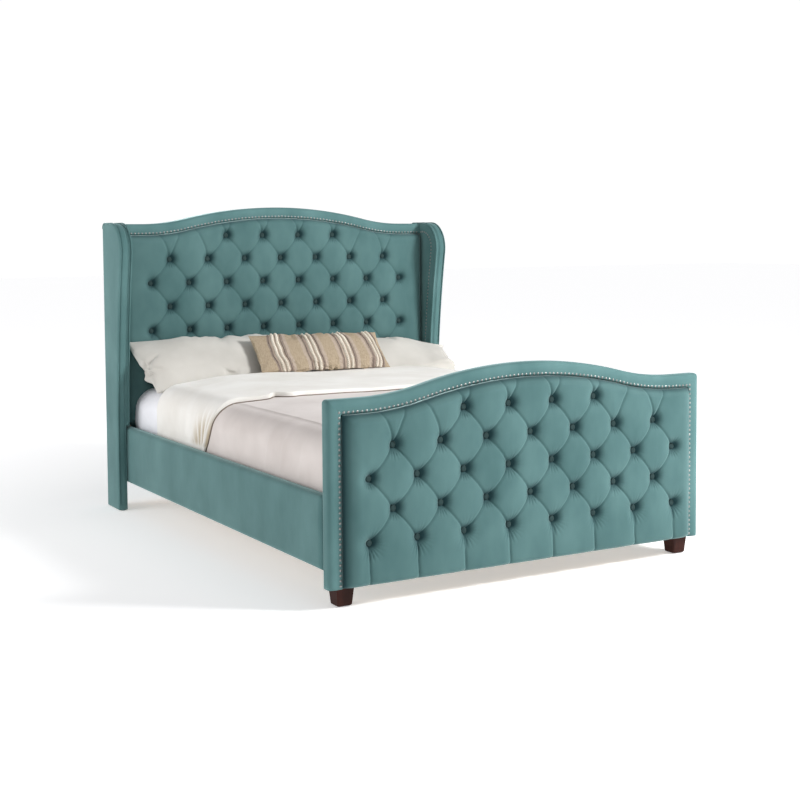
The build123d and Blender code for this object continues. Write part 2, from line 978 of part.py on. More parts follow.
def build_rails(holes):
    screws = [screw_hole(x, y) for x, y in all_screw_places()]
    for side, sign in SIDES.items():
        save(f"side_rail_{side}", rail_board_part(sign) - holes)
        save(f"rail_cover_{side}", rail_cover(sign) - holes)
        save(f"slat_ledge_{side}", slat_ledge(sign) - screws)
    brackets = [rail_bracket(*end) - holes for end in rail_ends()]
    save("rail_brackets", brackets)
    bolts = [bracket_bolt(seat, direction) for seat, direction in bracket_bolts()]
    for sign in SIDES.values():
        x, y, z = leg_bolt_place(sign)
        start = (x, y, z - leg_bolt_reach)
        bolts.append(rod(start, (0, 0, 1), bolt_radius, 2 * leg_bolt_reach))
    save("frame_bolts", bolts)


def build_base():
    save("centre_beam", centre_beam())
    save("beam_hangers", [beam_hanger(foot_back, 1), beam_hanger(head_panel_front, -1)])
    for end, sign in {"front": -1, "rear": 1}.items():
        save(f"centre_leg_{end}", centre_leg(sign * centre_leg_offset))
        save(f"levelling_foot_{end}", levelling_foot(sign * centre_leg_offset))
    drilled = [slat(y) - [screw_hole(*place) for place in screw_places(y)] for y in slat_places()]
    save("slats", drilled)
    save("slat_screws", [slat_screw(*place) for place in all_screw_places()])


def build_bedding():
    save("mattress", mattress_block(0))
    save("fitted_sheet", fitted_sheet())
    save("duvet", duvet())
    end = wing_pad_face - pillow_end_inset
    save("pillow_left", pillow(-end, pillow_split - pillow_split_gap / 2))
    save("pillow_right", pillow(pillow_split + pillow_split_gap / 2, end))
    save("lumbar_pillow", lumbar_pillow())


os.makedirs("parts", exist_ok=True)
holes = bolt_holes()
build_headboard(holes)
build_wings()
build_footboard(holes)
build_legs()
build_rails(holes)
build_base()
build_bedding()
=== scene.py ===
import json
import math

import bmesh
import bpy
import numpy as np
from mathutils import Matrix, Vector


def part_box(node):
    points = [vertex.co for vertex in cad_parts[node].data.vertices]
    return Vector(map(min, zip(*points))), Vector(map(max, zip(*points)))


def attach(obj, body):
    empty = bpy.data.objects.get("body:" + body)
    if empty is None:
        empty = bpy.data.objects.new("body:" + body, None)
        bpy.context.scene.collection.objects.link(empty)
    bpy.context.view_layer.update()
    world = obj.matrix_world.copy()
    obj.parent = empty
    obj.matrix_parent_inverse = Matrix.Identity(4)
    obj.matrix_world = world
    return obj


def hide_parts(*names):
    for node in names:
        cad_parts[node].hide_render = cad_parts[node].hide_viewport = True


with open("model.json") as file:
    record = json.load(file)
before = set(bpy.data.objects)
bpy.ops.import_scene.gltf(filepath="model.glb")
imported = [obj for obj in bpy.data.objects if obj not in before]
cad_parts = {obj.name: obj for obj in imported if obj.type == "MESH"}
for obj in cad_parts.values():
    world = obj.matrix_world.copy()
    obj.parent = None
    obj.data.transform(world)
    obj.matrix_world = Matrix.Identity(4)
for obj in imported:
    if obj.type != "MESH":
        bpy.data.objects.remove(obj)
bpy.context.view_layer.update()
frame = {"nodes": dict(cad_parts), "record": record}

# ------------------------------------------------------------------ shape of the bed
# Both arched top edges share one half width. These repeat the part's own sizes where the frame's
# boxes don't show them.
ARCH_HALF = 0.707
HEAD_RISE = 0.082
HEAD_TURN = 0.485
FOOT_RISE = 0.089
FOOT_TURN = 0.445
BORDER = 0.052
PIPING = 0.003

TUFT_PITCH = 0.196
HEAD_ROW = 0.1142
FOOT_ROW = 0.1126

WING_SWEEP_START = 0.25
WING_SWEEP_RISE = 0.95
WING_REACH = 0.085
WING_FOOT = 0.1675
WING_BACK_CORNER = 0.022
WING_PAD_RISE = 0.271

LEG_FOOT_WIDTH = 0.0575


# ------------------------------------------------------------------ small tools
def low(node):
    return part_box(node)[0]


def high(node):
    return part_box(node)[1]


def smooth_step(value, start, end):
    """Rises smoothly from 0 at start to 1 at end."""
    t = np.clip((value - start) / (end - start), 0, 1)
    return t * t * (3 - 2 * t)


def face_outward(mesh):
    work = bmesh.new()
    work.from_mesh(mesh)
    bmesh.ops.recalc_face_normals(work, faces=work.faces[:])
    work.to_mesh(mesh)
    work.free()


def new_mesh(name, points, faces, material, body="frame", smooth=True, outward=True):
    """A mesh object from points and faces, shaded smooth, riding on a body."""
    mesh = bpy.data.meshes.new(name)
    mesh.from_pydata([tuple(map(float, p)) for p in points], [], [list(f) for f in faces])
    mesh.validate()
    if outward:
        face_outward(mesh)
    mesh.polygons.foreach_set("use_smooth", [smooth] * len(mesh.polygons))
    mesh.update()
    obj = bpy.data.objects.new(name, mesh)
    bpy.context.scene.collection.objects.link(obj)
    obj.data.materials.append(material)
    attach(obj, body)
    return obj


def grid_faces(rows, columns, offset=0, wrap=False, flip=False):
    """Quads over a grid of points stored row by row; wrap joins the last column to the first."""
    faces = []
    last = columns if wrap else columns - 1
    for i in range(rows - 1):
        for j in range(last):
            k = (j + 1) % columns
            a = offset + i * columns + j
            b = offset + i * columns + k
            c = offset + (i + 1) * columns + k
            d = offset + (i + 1) * columns + j
            faces.append((d, c, b, a) if flip else (a, b, c, d))
    return faces


def swept_faces(count, width, flip=False):
    """Faces of a section swept along a path, closed at both ends."""
    faces = grid_faces(count, width, wrap=True, flip=flip)
    first = list(range(width))
    last = [(count - 1) * width + k for k in range(width)]
    faces.append(first if flip else first[::-1])
    faces.append(last[::-1] if flip else last)
    return faces


def islands(node):
    """Lowest and highest corners of each separate solid in a CAD node."""
    mesh = frame["nodes"][node].data
    points = np.array([v.co for v in mesh.vertices])
    keys = np.unique(np.round(points, 5), axis=0, return_inverse=True)[1].ravel()
    label = np.arange(keys.max() + 1)
    edges = keys[np.array([e.vertices for e in mesh.edges])]
    while True:
        least = np.minimum(label[edges[:, 0]], label[edges[:, 1]])
        before = label.copy()
        np.minimum.at(label, edges[:, 0], least)
        np.minimum.at(label, edges[:, 1], least)
        label = label[label]
        if (label == before).all():
            break
    owner = label[keys]
    found = []
    for value in np.unique(owner):
        part = points[owner == value]
        found.append((part.min(0), part.max(0)))
    return found


def arch_top(x, end, rise, turn):
    """Height of an arched top edge: flat ends, a hollow shoulder and a round crown."""
    angle = 2 * math.atan(rise / ARCH_HALF)
    crown = turn / math.sin(angle)
    shoulder = (ARCH_HALF - turn) / math.sin(angle)
    x = np.abs(np.asarray(x, float))
    on_crown = end + rise - crown + np.sqrt(np.maximum(crown**2 - x**2, 0))
    run = np.maximum(ARCH_HALF - x, 0)
    on_shoulder = end + shoulder - np.sqrt(np.maximum(shoulder**2 - run**2, 0))
    return np.where(x <= turn, on_crown, on_shoulder)


FOOT_TOP = high("footboard_top_border").z
HEAD_TOP = high("headboard_top_border").z
WING_NOSE = high("headboard_back_cover").y - WING_FOOT - WING_REACH


def foot_top(x):
    return arch_top(x, FOOT_TOP - FOOT_RISE, FOOT_RISE, FOOT_TURN)


def head_top(x):
    return arch_top(x, HEAD_TOP - HEAD_RISE, HEAD_RISE, HEAD_TURN)


# ------------------------------------------------------------------ materials
def new_material(name):
    material = bpy.data.materials.new(name)
    material.use_nodes = True
    tree = material.node_tree
    shader = tree.nodes["Principled BSDF"]
    return material, tree, shader


def add(tree, kind, **values):
    """A node with its named inputs or properties set."""
    node = tree.nodes.new(kind)
    for key, value in values.items():
        if key in node.inputs:
            node.inputs[key].default_value = value
        else:
            setattr(node, key, value)
    return node


def place(tree, scale=(1, 1, 1)):
    """Object coordinates, in metres, stretched by a scale."""
    source = add(tree, "ShaderNodeTexCoord")
    mapping = add(tree, "ShaderNodeMapping")
    mapping.inputs["Scale"].default_value = scale
    tree.links.new(source.outputs["Object"], mapping.inputs["Vector"])
    return mapping.outputs["Vector"]


def noise(tree, vector, scale, detail=2.0, roughness=0.5):
    node = add(tree, "ShaderNodeTexNoise", Scale=scale, Detail=detail, Roughness=roughness)
    tree.links.new(vector, node.inputs["Vector"])
    return node.outputs["Fac"]


def ramp(tree, value, stops):
    node = add(tree, "ShaderNodeValToRGB")
    elements = node.color_ramp.elements
    while len(elements) < len(stops):
        elements.new(0.5)
    for element, (position, colour) in zip(elements, stops):
        element.position = position
        element.color = (*colour, 1)
    tree.links.new(value, node.inputs["Fac"])
    return node.outputs["Color"]


def bump(tree, shader, height, distance, strength=1.0, normal=None):
    node = add(tree, "ShaderNodeBump", Distance=distance, Strength=strength)
    tree.links.new(height, node.inputs["Height"])
    if normal is not None:
        tree.links.new(normal, node.inputs["Normal"])
    tree.links.new(node.outputs["Normal"], shader.inputs["Normal"])
    return node.outputs["Normal"]


VELVET_DARK = (0.066, 0.148, 0.149)
VELVET_MID = (0.085, 0.178, 0.178)
VELVET_LIGHT = (0.104, 0.208, 0.207)
# Painted shade: the colour the tufted velvet darkens to in and beside its wells, and the tufted pads'
# darker copy of the velvet.
VELVET_PAINTED_SHADE = (0.012, 0.042, 0.047)
TUFTED_SHADE_TONE = 0.82
# Painted shade: the buttons' velvet is a much darker copy, as they sit in the wells' shade.
BUTTON_SHADE_TONE = 0.24


def velvet_material(name, painted_shade=False, buttons=False):
    """Teal velvet with a patchy nap; the tufted copy carries painted shade, the button copy is painted
    dark as shade.
    """
    material, tree, shader = new_material(name)
    nap_tone_and_painted_shade = noise(tree, place(tree, (1, 1, 0.6)), 6, 3, 0.55)
    darkened = TUFTED_SHADE_TONE if painted_shade else BUTTON_SHADE_TONE if buttons else 1.0
    tones = [[darkened * c for c in tone] for tone in (VELVET_DARK, VELVET_MID, VELVET_LIGHT)]
    colour = ramp(tree, nap_tone_and_painted_shade, list(zip((0.30, 0.52, 0.74), tones)))
    if painted_shade:
        # Painted shade, darkest in the wells and in a fan to the upper right of each button.
        depth = add(tree, "ShaderNodeAttribute", attribute_name="painted_well_shade")
        amount = ramp(tree, depth.outputs["Fac"], [(0.24, (0, 0, 0)), (0.85, (1, 1, 1))])
        colour = blend_to(tree, colour, amount, VELVET_PAINTED_SHADE)
    tree.links.new(colour, shader.inputs["Base Color"])
    shader.inputs["Roughness"].default_value = 0.8
    shader.inputs["Specular IOR Level"].default_value = 0.2
    shader.inputs["Sheen Weight"].default_value = 0.08 if buttons else 0.6
    shader.inputs["Sheen Roughness"].default_value = 0.35
    shader.inputs["Sheen Tint"].default_value = (0.62, 0.86, 0.86, 1)
    pile = noise(tree, place(tree), 1500, 2, 0.6)
    nap = noise(tree, place(tree, (1, 1, 0.3)), 60, 3, 0.55)
    soft = bump(tree, shader, nap, 0.0008, 0.3)
    bump(tree, shader, pile, 0.0004, 0.3, soft)
    return material


def wood_material(name, dark, light, roughness, stretch):
    """Straight grain with pores, stretched along one axis."""
    material, tree, shader = new_material(name)
    vector = place(tree, stretch)
    grain = noise(tree, vector, 30, 6, 0.65)
    colour = ramp(tree, grain, [(0.32, dark), (0.68, light)])
    tree.links.new(colour, shader.inputs["Base Color"])
    shader.inputs["Roughness"].default_value = roughness
    shader.inputs["Specular IOR Level"].default_value = 0.18
    bump(tree, shader, noise(tree, vector, 120, 4, 0.6), 0.0004, 0.4)
    return material


def metal_material(name, colour, roughness, scratch):
    material, tree, shader = new_material(name)
    shader.inputs["Metallic"].default_value = 1.0
    wear = noise(tree, place(tree), scratch, 3, 0.6)
    tone = ramp(tree, wear, [(0.3, [0.82 * c for c in colour]), (0.7, colour)])
    tree.links.new(tone, shader.inputs["Base Color"])
    shader.inputs["Roughness"].default_value = roughness
    return material


def plastic_material(name, colour, roughness):
    material, tree, shader = new_material(name)
    speckle = noise(tree, place(tree), 400, 2, 0.5)
    tone = ramp(tree, speckle, [(0.3, [0.85 * c for c in colour]), (0.7, colour)])
    tree.links.new(tone, shader.inputs["Base Color"])
    shader.inputs["Roughness"].default_value = roughness
    bump(tree, shader, speckle, 0.0002, 0.3)
    return material


def blend_to(tree, colour, amount, other):
    """The colour, turning into the other one as the amount rises."""
    mix = add(tree, "ShaderNodeMix", data_type="RGBA")
    tree.links.new(amount, mix.inputs[0])
    for socket in mix.inputs:
        if socket.type == "RGBA" and socket.name == "A":
            tree.links.new(colour, socket)
        if socket.type == "RGBA" and socket.name == "B":
            socket.default_value = (*other, 1)
    return [out for out in mix.outputs if out.type == "RGBA"][0]


def cotton_material(name, shade, colour, thread=900, crumple=0.5, pleat_shade_colour=None):
    """Washed cotton: fine weave, soft creases and slight variation in tone, with painted shade in pleat
    valleys if a pleat colour is given.
    """
    material, tree, shader = new_material(name)
    tone = ramp(tree, noise(tree, place(tree), 5, 3, 0.5), [(0.35, shade), (0.65, colour)])
    if pleat_shade_colour:
        # Painted shade: the colour turns tan in the pleats' valleys.
        painted_pleat_shade = add(tree, "ShaderNodeAttribute", attribute_name="painted_pleat_shade")
        tone = blend_to(tree, tone, painted_pleat_shade.outputs["Fac"], pleat_shade_colour)
    tree.links.new(tone, shader.inputs["Base Color"])
    shader.inputs["Roughness"].default_value = 0.9
    shader.inputs["Specular IOR Level"].default_value = 0.15
    shader.inputs["Sheen Weight"].default_value = 0.25
    shader.inputs["Sheen Roughness"].default_value = 0.5
    soft = bump(tree, shader, noise(tree, place(tree), 26, 4, 0.6), 0.003, crumple)
    bump(tree, shader, noise(tree, place(tree), thread, 2, 0.7), 0.0003, 0.3, soft)
    return material


def weave_material(name, shade, colour):
    """A coarse handwoven cloth with uneven ribs across it."""
    material, tree, shader = new_material(name)
    slub = noise(tree, place(tree, (1, 0.25, 0.25)), 420, 4, 0.6)
    tone = ramp(tree, slub, [(0.34, shade), (0.62, colour)])
    tree.links.new(tone, shader.inputs["Base Color"])
    shader.inputs["Roughness"].default_value = 0.95
    shader.inputs["Specular IOR Level"].default_value = 0.1
    ribs = noise(tree, place(tree, (0.3, 1, 1)), 300, 3, 0.6)
    soft = bump(tree, shader, ribs, 0.0014, 0.5)
    bump(tree, shader, slub, 0.0010, 0.5, soft)
    return material


# ------------------------------------------------------------------ tufted pads
def tuft_creases(buttons, row_step, bottom, top_of):
    """Fold lines of a diamond-tufted pad as short straight runs.

    Each run is (start, end, depth at start, depth at end). Neighbouring buttons are joined by
    diagonal folds; folds from the highest buttons curve up to the border; pleats drop straight
    from the lowest row."""
    known = {(round(x, 3), round(z, 3)) for x, z in buttons}
    widest = max(x for x, _ in buttons)
    lowest = min(z for _, z in buttons)
    runs = []
    for x, z in buttons:
        for side in (-1, 1):
            neighbour = (x + side * TUFT_PITCH / 2, z + row_step)
            if (round(neighbour[0], 3), round(neighbour[1], 3)) in known:
                mid = ((x + neighbour[0]) / 2, (z + neighbour[1]) / 2)
                runs.append(((x, z), mid, FOLD_AT_BUTTON, FOLD_MIDWAY))
                runs.append((mid, neighbour, FOLD_MIDWAY, FOLD_AT_BUTTON))
            elif abs(neighbour[0]) < widest + 0.01:
                runs += pleat_to_border((x, z), side, top_of)
        if abs(z - lowest) < 0.01:
            bow = (x - 0.006, (z + bottom) / 2)
            runs.append(((x, z), bow, FOLD_AT_BUTTON, 0.009))
            runs.append((bow, (x, bottom), 0.009, 0.011))
    return runs


def pleat_to_border(button, side, top_of):
    """A fold that leaves a button upwards and curves outwards to the border."""
    x, z = button
    rise = float(top_of(x)) - z
    reach = side * min(0.42 * rise, 0.07)
    end = (x + reach, float(top_of(x + reach)))
    bend = (x + 0.30 * reach, z + 0.50 * rise)
    line = [bezier(button, bend, end, t / 5) for t in range(6)]
    depths = [FOLD_AT_BUTTON + (0.005 - FOLD_AT_BUTTON) * (t / 5) ** 0.7 for t in range(6)]
    return [(line[t], line[t + 1], depths[t], depths[t + 1]) for t in range(5)]


def bezier(start, control, end, t):
    return tuple(
        (1 - t) ** 2 * a + 2 * t * (1 - t) * b + t * t * c
        for a, b, c in zip(start, control, end)
    )


def fold_depth(x, z, runs, reach):
    """How far the cloth is drawn in by its folds: sharp at the line, round towards the crown."""
    depth = np.zeros_like(x)
    for start, end, first, last in runs:
        dx, dz = end[0] - start[0], end[1] - start[1]
        length = math.hypot(dx, dz)
        along = ((x - start[0]) * dx + (z - start[1]) * dz) / length**2
        t = np.clip(along, 0, 1)
        off = np.hypot(x - start[0] - t * dx, z - start[1] - t * dz)
        near = np.clip(off / reach, 0, 1)
        round_off = 1 - np.sqrt(1 - (1 - near) ** 2)
        crease = 0.0022 * np.exp(-((off / 0.0045) ** 2))
        depth = np.maximum(depth, (first + (last - first) * t) * round_off + crease)
    return depth


def button_wells(x, z, buttons, random):
    """The well at each button, the fan of small gathers that radiates from it, and painted shade: a fan to
    the right of and above each button, and the gathers' valleys.
    """
    lowest = min(height for _, height in buttons)
    well, gather, nap_tone_and_painted_shade = np.zeros_like(x), np.zeros_like(x), np.zeros_like(x)
    for bx, bz in buttons:
        dx, dz = x - bx, z - bz
        near = (np.abs(dx) < 0.1) & (np.abs(dz) < 0.1)
        r = np.hypot(dx[near], dz[near])
        angle = np.arctan2(dz[near], dx[near])
        funnel = WELL_DEPTH * np.exp(-np.maximum(r - 0.010, 0) / WELL_SLOPE)
        funnel += DIMPLE_DEPTH * np.exp(-((r / DIMPLE_RADIUS) ** 2))
        well[near] = np.maximum(well[near], funnel)
        turn = random.uniform(-0.35, 0.35)
        # Painted shade to the right of and above each button, as if lit from the upper right.
        along = dx[near] * 0.90 + dz[near] * 0.44
        beside = dz[near] * 0.90 - dx[near] * 0.44
        fan = np.exp(-((beside / (0.010 + 0.50 * np.maximum(along, 0))) ** 2))
        fan *= np.exp(-((np.maximum(along - 0.008, 0) / 0.024) ** 1.3)) * smooth_step(along, -0.014, 0.004)
        nap_tone_and_painted_shade[near] = np.maximum(nap_tone_and_painted_shade[near], fan)
        count = int(random.integers(9, 12))
        line = np.abs(np.sin(count * (angle - turn)))
        valley = (1 - line) ** 1.6
        below = np.angle(np.exp(1j * (angle + math.pi / 2 + 0.25 * turn)))
        above = np.angle(np.exp(1j * (angle - math.pi / 2 + 0.6)))
        spread = 0.12 + np.exp(-((below / 0.62) ** 2)) + 0.35 * np.exp(-((above / 0.5) ** 2))
        long = 0.074 if abs(bz - lowest) < 0.01 else random.uniform(0.046, 0.062)
        band = smooth_step(r, 0.012, 0.022) * (1 - smooth_step(r, 0.5 * long, long))
        gather[near] += 0.0040 * valley * spread * band
        # Painted shade in the valleys of the gathers.
        nap_tone_and_painted_shade[near] = np.maximum(nap_tone_and_painted_shade[near], 0.55 * valley * np.minimum(spread, 1) * band)
    return well, gather, nap_tone_and_painted_shade


def paint_well_shade(obj, depth, nap_tone_and_painted_shade):
    """Stores painted shade: most in the wells, and in the painted fans and gather valleys beside them."""
    layer = obj.data.attributes.new("painted_well_shade", "FLOAT", "POINT")
    # Painted shade: deeper cloth is darker, plus the painted fans and valleys.
    painted_shade = 0.85 * depth / 0.030 + 0.55 * nap_tone_and_painted_shade
    layer.data.foreach_set("value", np.clip(painted_shade, 0, 1).astype(np.float32))


FOLD_AT_BUTTON = 0.009
FOLD_MIDWAY = 0.0068
WELL_DEPTH = 0.0125
WELL_SLOPE = 0.0105
DIMPLE_DEPTH = 0.012
DIMPLE_RADIUS = 0.035


def tufted_pad(name, node, button_node, top_of, row_step, material, step, side_round, seed):
    """The thick buttoned pad, from the board it lies on to its rounded diamonds."""
    random = np.random.default_rng(seed)
    lo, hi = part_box(node)
    half, crown, board, bottom = hi.x, lo.y, hi.y, lo.z
    thickness = board - crown
    buttons = [((a[0] + b[0]) / 2, (a[2] + b[2]) / 2) for a, b in islands(button_node)]
    columns = int(2 * half / step) + 1
    rows = int((hi.z - bottom) / step) + 1
    u = np.linspace(-half, half, columns)
    pad_top = top_of(u) - (FOOT_TOP if node.startswith("foot") else HEAD_TOP) + hi.z
    share = np.linspace(0, 1, rows)
    x = np.tile(u, (rows, 1))
    z = bottom + share[:, None] * (pad_top - bottom)[None, :]

    def pad_top_of(value):
        return np.interp(value, u, pad_top)

    runs = tuft_creases(buttons, row_step, bottom, pad_top_of)
    reach = TUFT_PITCH / 2 * row_step / math.hypot(TUFT_PITCH / 2, row_step)
    well, gather, nap_tone_and_painted_shade = button_wells(x, z, buttons, random)
    height = thickness - fold_depth(x, z, runs, reach) - well - gather
    plump = sum(
        random.uniform(0.4, 1) * np.sin(random.uniform(8, 20) * x + random.uniform(0, 6))
        * np.sin(random.uniform(8, 20) * z + random.uniform(0, 6))
        for _ in range(5)
    )
    height -= 0.0012 * (1 + plump / 4)
    top = pad_top[None, :] - z
    for distance, radius in ((half - np.abs(x), side_round), (top, 0.034), (z - bottom, 0.022)):
        rim = np.clip(distance / radius, 0, 1)
        height *= np.sqrt(1 - (1 - rim) ** 2)
    points = np.stack([x, board - height, z], -1).reshape(-1, 3)
    faces = grid_faces(rows, columns)
    faces.append(rim_loop(rows, columns)[::-1])
    pad = new_mesh(name, points, faces, material)
    # Stores the painted shade on the pad for its material.
    paint_well_shade(pad, (thickness - height).ravel(), nap_tone_and_painted_shade.ravel())
    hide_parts(node)
    return pad, buttons


def rim_loop(rows, columns):
    """Indices round the edge of a grid of points."""
    bottom = list(range(columns))
    right = [i * columns + columns - 1 for i in range(1, rows)]
    top = [(rows - 1) * columns + j for j in range(columns - 2, -1, -1)]
    left = [i * columns for i in range(rows - 2, 0, -1)]
    return bottom + right + top + left


def round_caps(name, node, seats, profile, segments, material):
    """Domed caps, one at each seat; the profile is (radius, height) from rim to crown."""
    points, faces = [], []
    for centre, normal in seats:
        normal = Vector(normal)
        side = normal.orthogonal().normalized()
        other = normal.cross(side)
        start = len(points)
        for radius, height in profile:
            for k in range(segments):
                angle = 2 * math.pi * k / segments
                offset = radius * (math.cos(angle) * side + math.sin(angle) * other)
                points.append(Vector(centre) + offset + height * normal)
        faces += grid_faces(len(profile), segments, start, wrap=True)
        faces.append([start + (len(profile) - 1) * segments + k for k in range(segments)])
        faces.append([start + k for k in range(segments)][::-1])
    obj = new_mesh(name, points, faces, material)
    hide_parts(node)
    return obj


def covered_buttons(name, node, material):
    """Cloth-covered buttons, plump in the middle and tucked in at the rim."""
    seats = []
    for a, b in islands(node):
        seats.append((((a[0] + b[0]) / 2, b[1], (a[2] + b[2]) / 2), (0, -1, 0)))
    profile = [(0.0100, 0.0), (0.0118, 0.0010), (0.0121, 0.0020), (0.0112, 0.0034)]
    profile += [(0.0090, 0.0045), (0.0058, 0.0052), (0.002, 0.0055)]
    return round_caps(name, node, seats, profile, 20, material)


def nail_heads(name, node, material):
    """Domed nail heads, each facing out of the surface that it is driven into."""
    seats = []
    for a, b in islands(node):
        centre = (a + b) / 2
        if b[0] - a[0] < b[1] - a[1]:
            sign = 1 if centre[0] > 0 else -1
            seats.append(((b[0] if sign > 0 else a[0], centre[1], centre[2]), (-sign, 0, 0)))
        else:
            seats.append(((centre[0], b[1], centre[2]), (0, -1, 0)))
    profile = [(0.0052, 0.0), (0.0054, 0.0005), (0.0051, 0.0014), (0.0042, 0.0026)]
    profile += [(0.0028, 0.0035), (0.0012, 0.0039)]
    return round_caps(name, node, seats, profile, 14, material)


# ------------------------------------------------------------------ borders and covers
def border_section(front, back):
    """Padded border in section: (distance in from the edge, y), from the inner edge round."""
    return [
        (BORDER, front + 0.008),
        (BORDER + 0.0005, front + 0.001),
        (BORDER - 0.004, front - 0.0012),
        (BORDER - 0.012, front - 0.0022),
        (0.028, front - 0.0040),
        (0.016, front - 0.0032),
        (0.008, front - 0.0005),
        (0.003, front + 0.0035),
        (0.0005, front + 0.009),
        (0.0, front + 0.016),
        (0.0, back - 0.010),
        (0.0012, back - 0.004),
        (0.005, back - 0.0005),
        (0.008, back),
        (0.008, front + 0.008),
    ]


def foot_border_path(inset, half, bottom):
    """Path of one line of the footboard's border: up the left, over the arch, down the right."""
    corner = max(0.014 - inset, 0.002)
    side = half - inset
    shoulder = float(foot_top(half)) - inset
    path = [(-side, bottom + t * (shoulder - corner - bottom)) for t in np.linspace(0, 1, 40)]
    turn = [math.pi - t * math.pi / 2 for t in np.linspace(0, 1, 8)[1:]]
    centre = (-side + corner, shoulder - corner)
    path += [(centre[0] + corner * math.cos(a), centre[1] + corner * math.sin(a)) for a in turn]
    span = np.linspace(-side + corner, side - corner, 141)[1:-1]
    path += [(x, float(foot_top(x)) - inset) for x in span]
    mirror = [(-x, z) for x, z in path[:47]][::-1]
    return path + mirror


def head_border_path(inset, half):
    return [(x, float(head_top(x)) - inset) for x in np.linspace(-half, half, 141)]


def border_mesh(name, nodes, paths, section, material, random):
    """Sweeps the border's section along its paths, with a slight unevenness in the padding."""
    count = len(paths[0])
    wobble = np.cumsum(random.normal(0, 1, count))
    wobble = np.convolve(wobble - wobble.mean(), np.ones(9) / 9, "same")
    wobble = 0.0005 * wobble / max(abs(wobble).max(), 1e-9)
    points = []
    for i in range(count):
        for (inset, y), path in zip(section, paths):
            x, z = path[i]
            points.append((x, y + (wobble[i] if 0.004 < inset < 0.045 else 0), z))
    obj = new_mesh(name, points, swept_faces(count, len(section), flip=True), material)
    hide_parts(*nodes)
    return obj


def footboard_border(material):
    half = high("footboard_border_right").x
    bottom = low("footboard_border_right").z
    section = border_section(low("footboard_top_border").y, high("footboard_top_border").y)
    paths = [foot_border_path(inset, half, bottom) for inset, _ in section]
    nodes = ["footboard_top_border", "footboard_border_left", "footboard_border_right"]
    return border_mesh("footboard_border", nodes, paths, section, material, np.random.default_rng(5))


def headboard_border(material):
    section = border_section(low("headboard_top_border").y, high("headboard_top_border").y)
    half = high("headboard_top_border").x
    paths = [head_border_path(inset, half) for inset, _ in section]
    nodes = ["headboard_top_border"]
    return border_mesh("headboard_border", nodes, paths, section, material, np.random.default_rng(6))


def wing_outline(inset, steps=26):
    """Side view of a wing, set in all round: up the front, over the nose, along the top."""
    back = high("headboard_back_cover").y
    top = HEAD_TOP - HEAD_RISE
    foot = back - WING_FOOT
    turn = 2 * math.atan(WING_REACH / WING_SWEEP_RISE)
    sweep = WING_SWEEP_RISE / math.sin(turn)
    nose_y, nose_z = foot - WING_REACH, WING_SWEEP_START + WING_SWEEP_RISE
    nose = (top - nose_z) / (1 + math.sin(turn))
    centre_y = nose_y + nose * math.cos(turn)
    centre_z = nose_z + nose * math.sin(turn)
    line = [(foot + inset, z) for z in np.linspace(low("wing_core_left").z + inset, WING_SWEEP_START, 10)]
    for angle in np.linspace(0, turn, steps)[1:]:
        radius = sweep + inset
        line.append((foot - sweep + radius * math.cos(angle), WING_SWEEP_START + radius * math.sin(angle)))
    for angle in np.linspace(math.pi + turn, math.pi / 2, steps)[1:]:
        radius = nose - inset
        line.append((centre_y + radius * math.cos(angle), centre_z + radius * math.sin(angle)))
    corner = WING_BACK_CORNER - inset if inset < WING_BACK_CORNER else 0.001
    line += [(y, top - inset) for y in np.linspace(centre_y, back - inset - corner, 8)[1:]]
    for angle in np.linspace(math.pi / 2, 0, 7)[1:]:
        y = back - inset - corner + corner * math.cos(angle)
        line.append((y, top - inset - corner + corner * math.sin(angle)))
    return line


def plate_mesh(name, nodes, outline_of, profile, material):
    """A cushioned plate: rings of an outline, set in further as they rise, closed on both sides."""
    points, count = [], 0
    for inset, x in profile:
        ring = outline_of(inset)
        count = len(ring)
        points += [(x, y, z) for y, z in ring]
    flip = profile[-1][1] > profile[0][1]
    faces = grid_faces(len(profile), count, wrap=True, flip=flip)
    first = list(range(count))
    last = [(len(profile) - 1) * count + k for k in range(count)]
    faces.append(first[::-1] if flip else first)
    faces.append(last if flip else last[::-1])
    faces = [f[::-1] for f in faces]
    obj = new_mesh(name, points, faces, material)
    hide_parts(*nodes)
    return obj


def wing_ring(inset):
    """A closed outline of the wing: its front and top, then down the back and along the foot."""
    line = wing_outline(inset)
    back, foot = line[-1], line[0]
    down = [(back[0], back[1] + t * (foot[1] - back[1])) for t in np.linspace(0, 1, 20)[1:]]
    along = [(back[0] + t * (foot[0] - back[0]), foot[1]) for t in np.linspace(0, 1, 6)[1:-1]]
    return line + down + along


def pad_ring(inset, bottom, back):
    """A closed outline of the pad on a wing's inner face, above the rail."""
    line = [(y, z) for y, z in wing_outline(inset) if z > bottom + inset]
    front = wing_outline(inset)[:40]
    start = np.interp(bottom + inset, [z for _, z in front], [y for y, _ in front])
    line = [(float(start), bottom + inset)] + [p for p in line if p[0] < back - inset]
    line.append((back - inset, line[-1][1]))
    down = [(back - inset, z) for z in np.linspace(line[-1][1], bottom + inset, 20)[1:]]
    along = [(back - inset + t * (float(start) - back + inset), bottom + inset) for t in (0.33, 0.66)]
    return line + down + along


def resampled(ring, count=160):
    """The same closed ring with a fixed number of points, evenly spaced."""
    ring = np.array(ring)
    closed = np.vstack([ring, ring[:1]])
    run = np.concatenate([[0], np.cumsum(np.linalg.norm(np.diff(closed, axis=0), axis=1))])
    at = np.linspace(0, run[-1], count, endpoint=False)
    return list(zip(np.interp(at, run, closed[:, 0]), np.interp(at, run, closed[:, 1])))


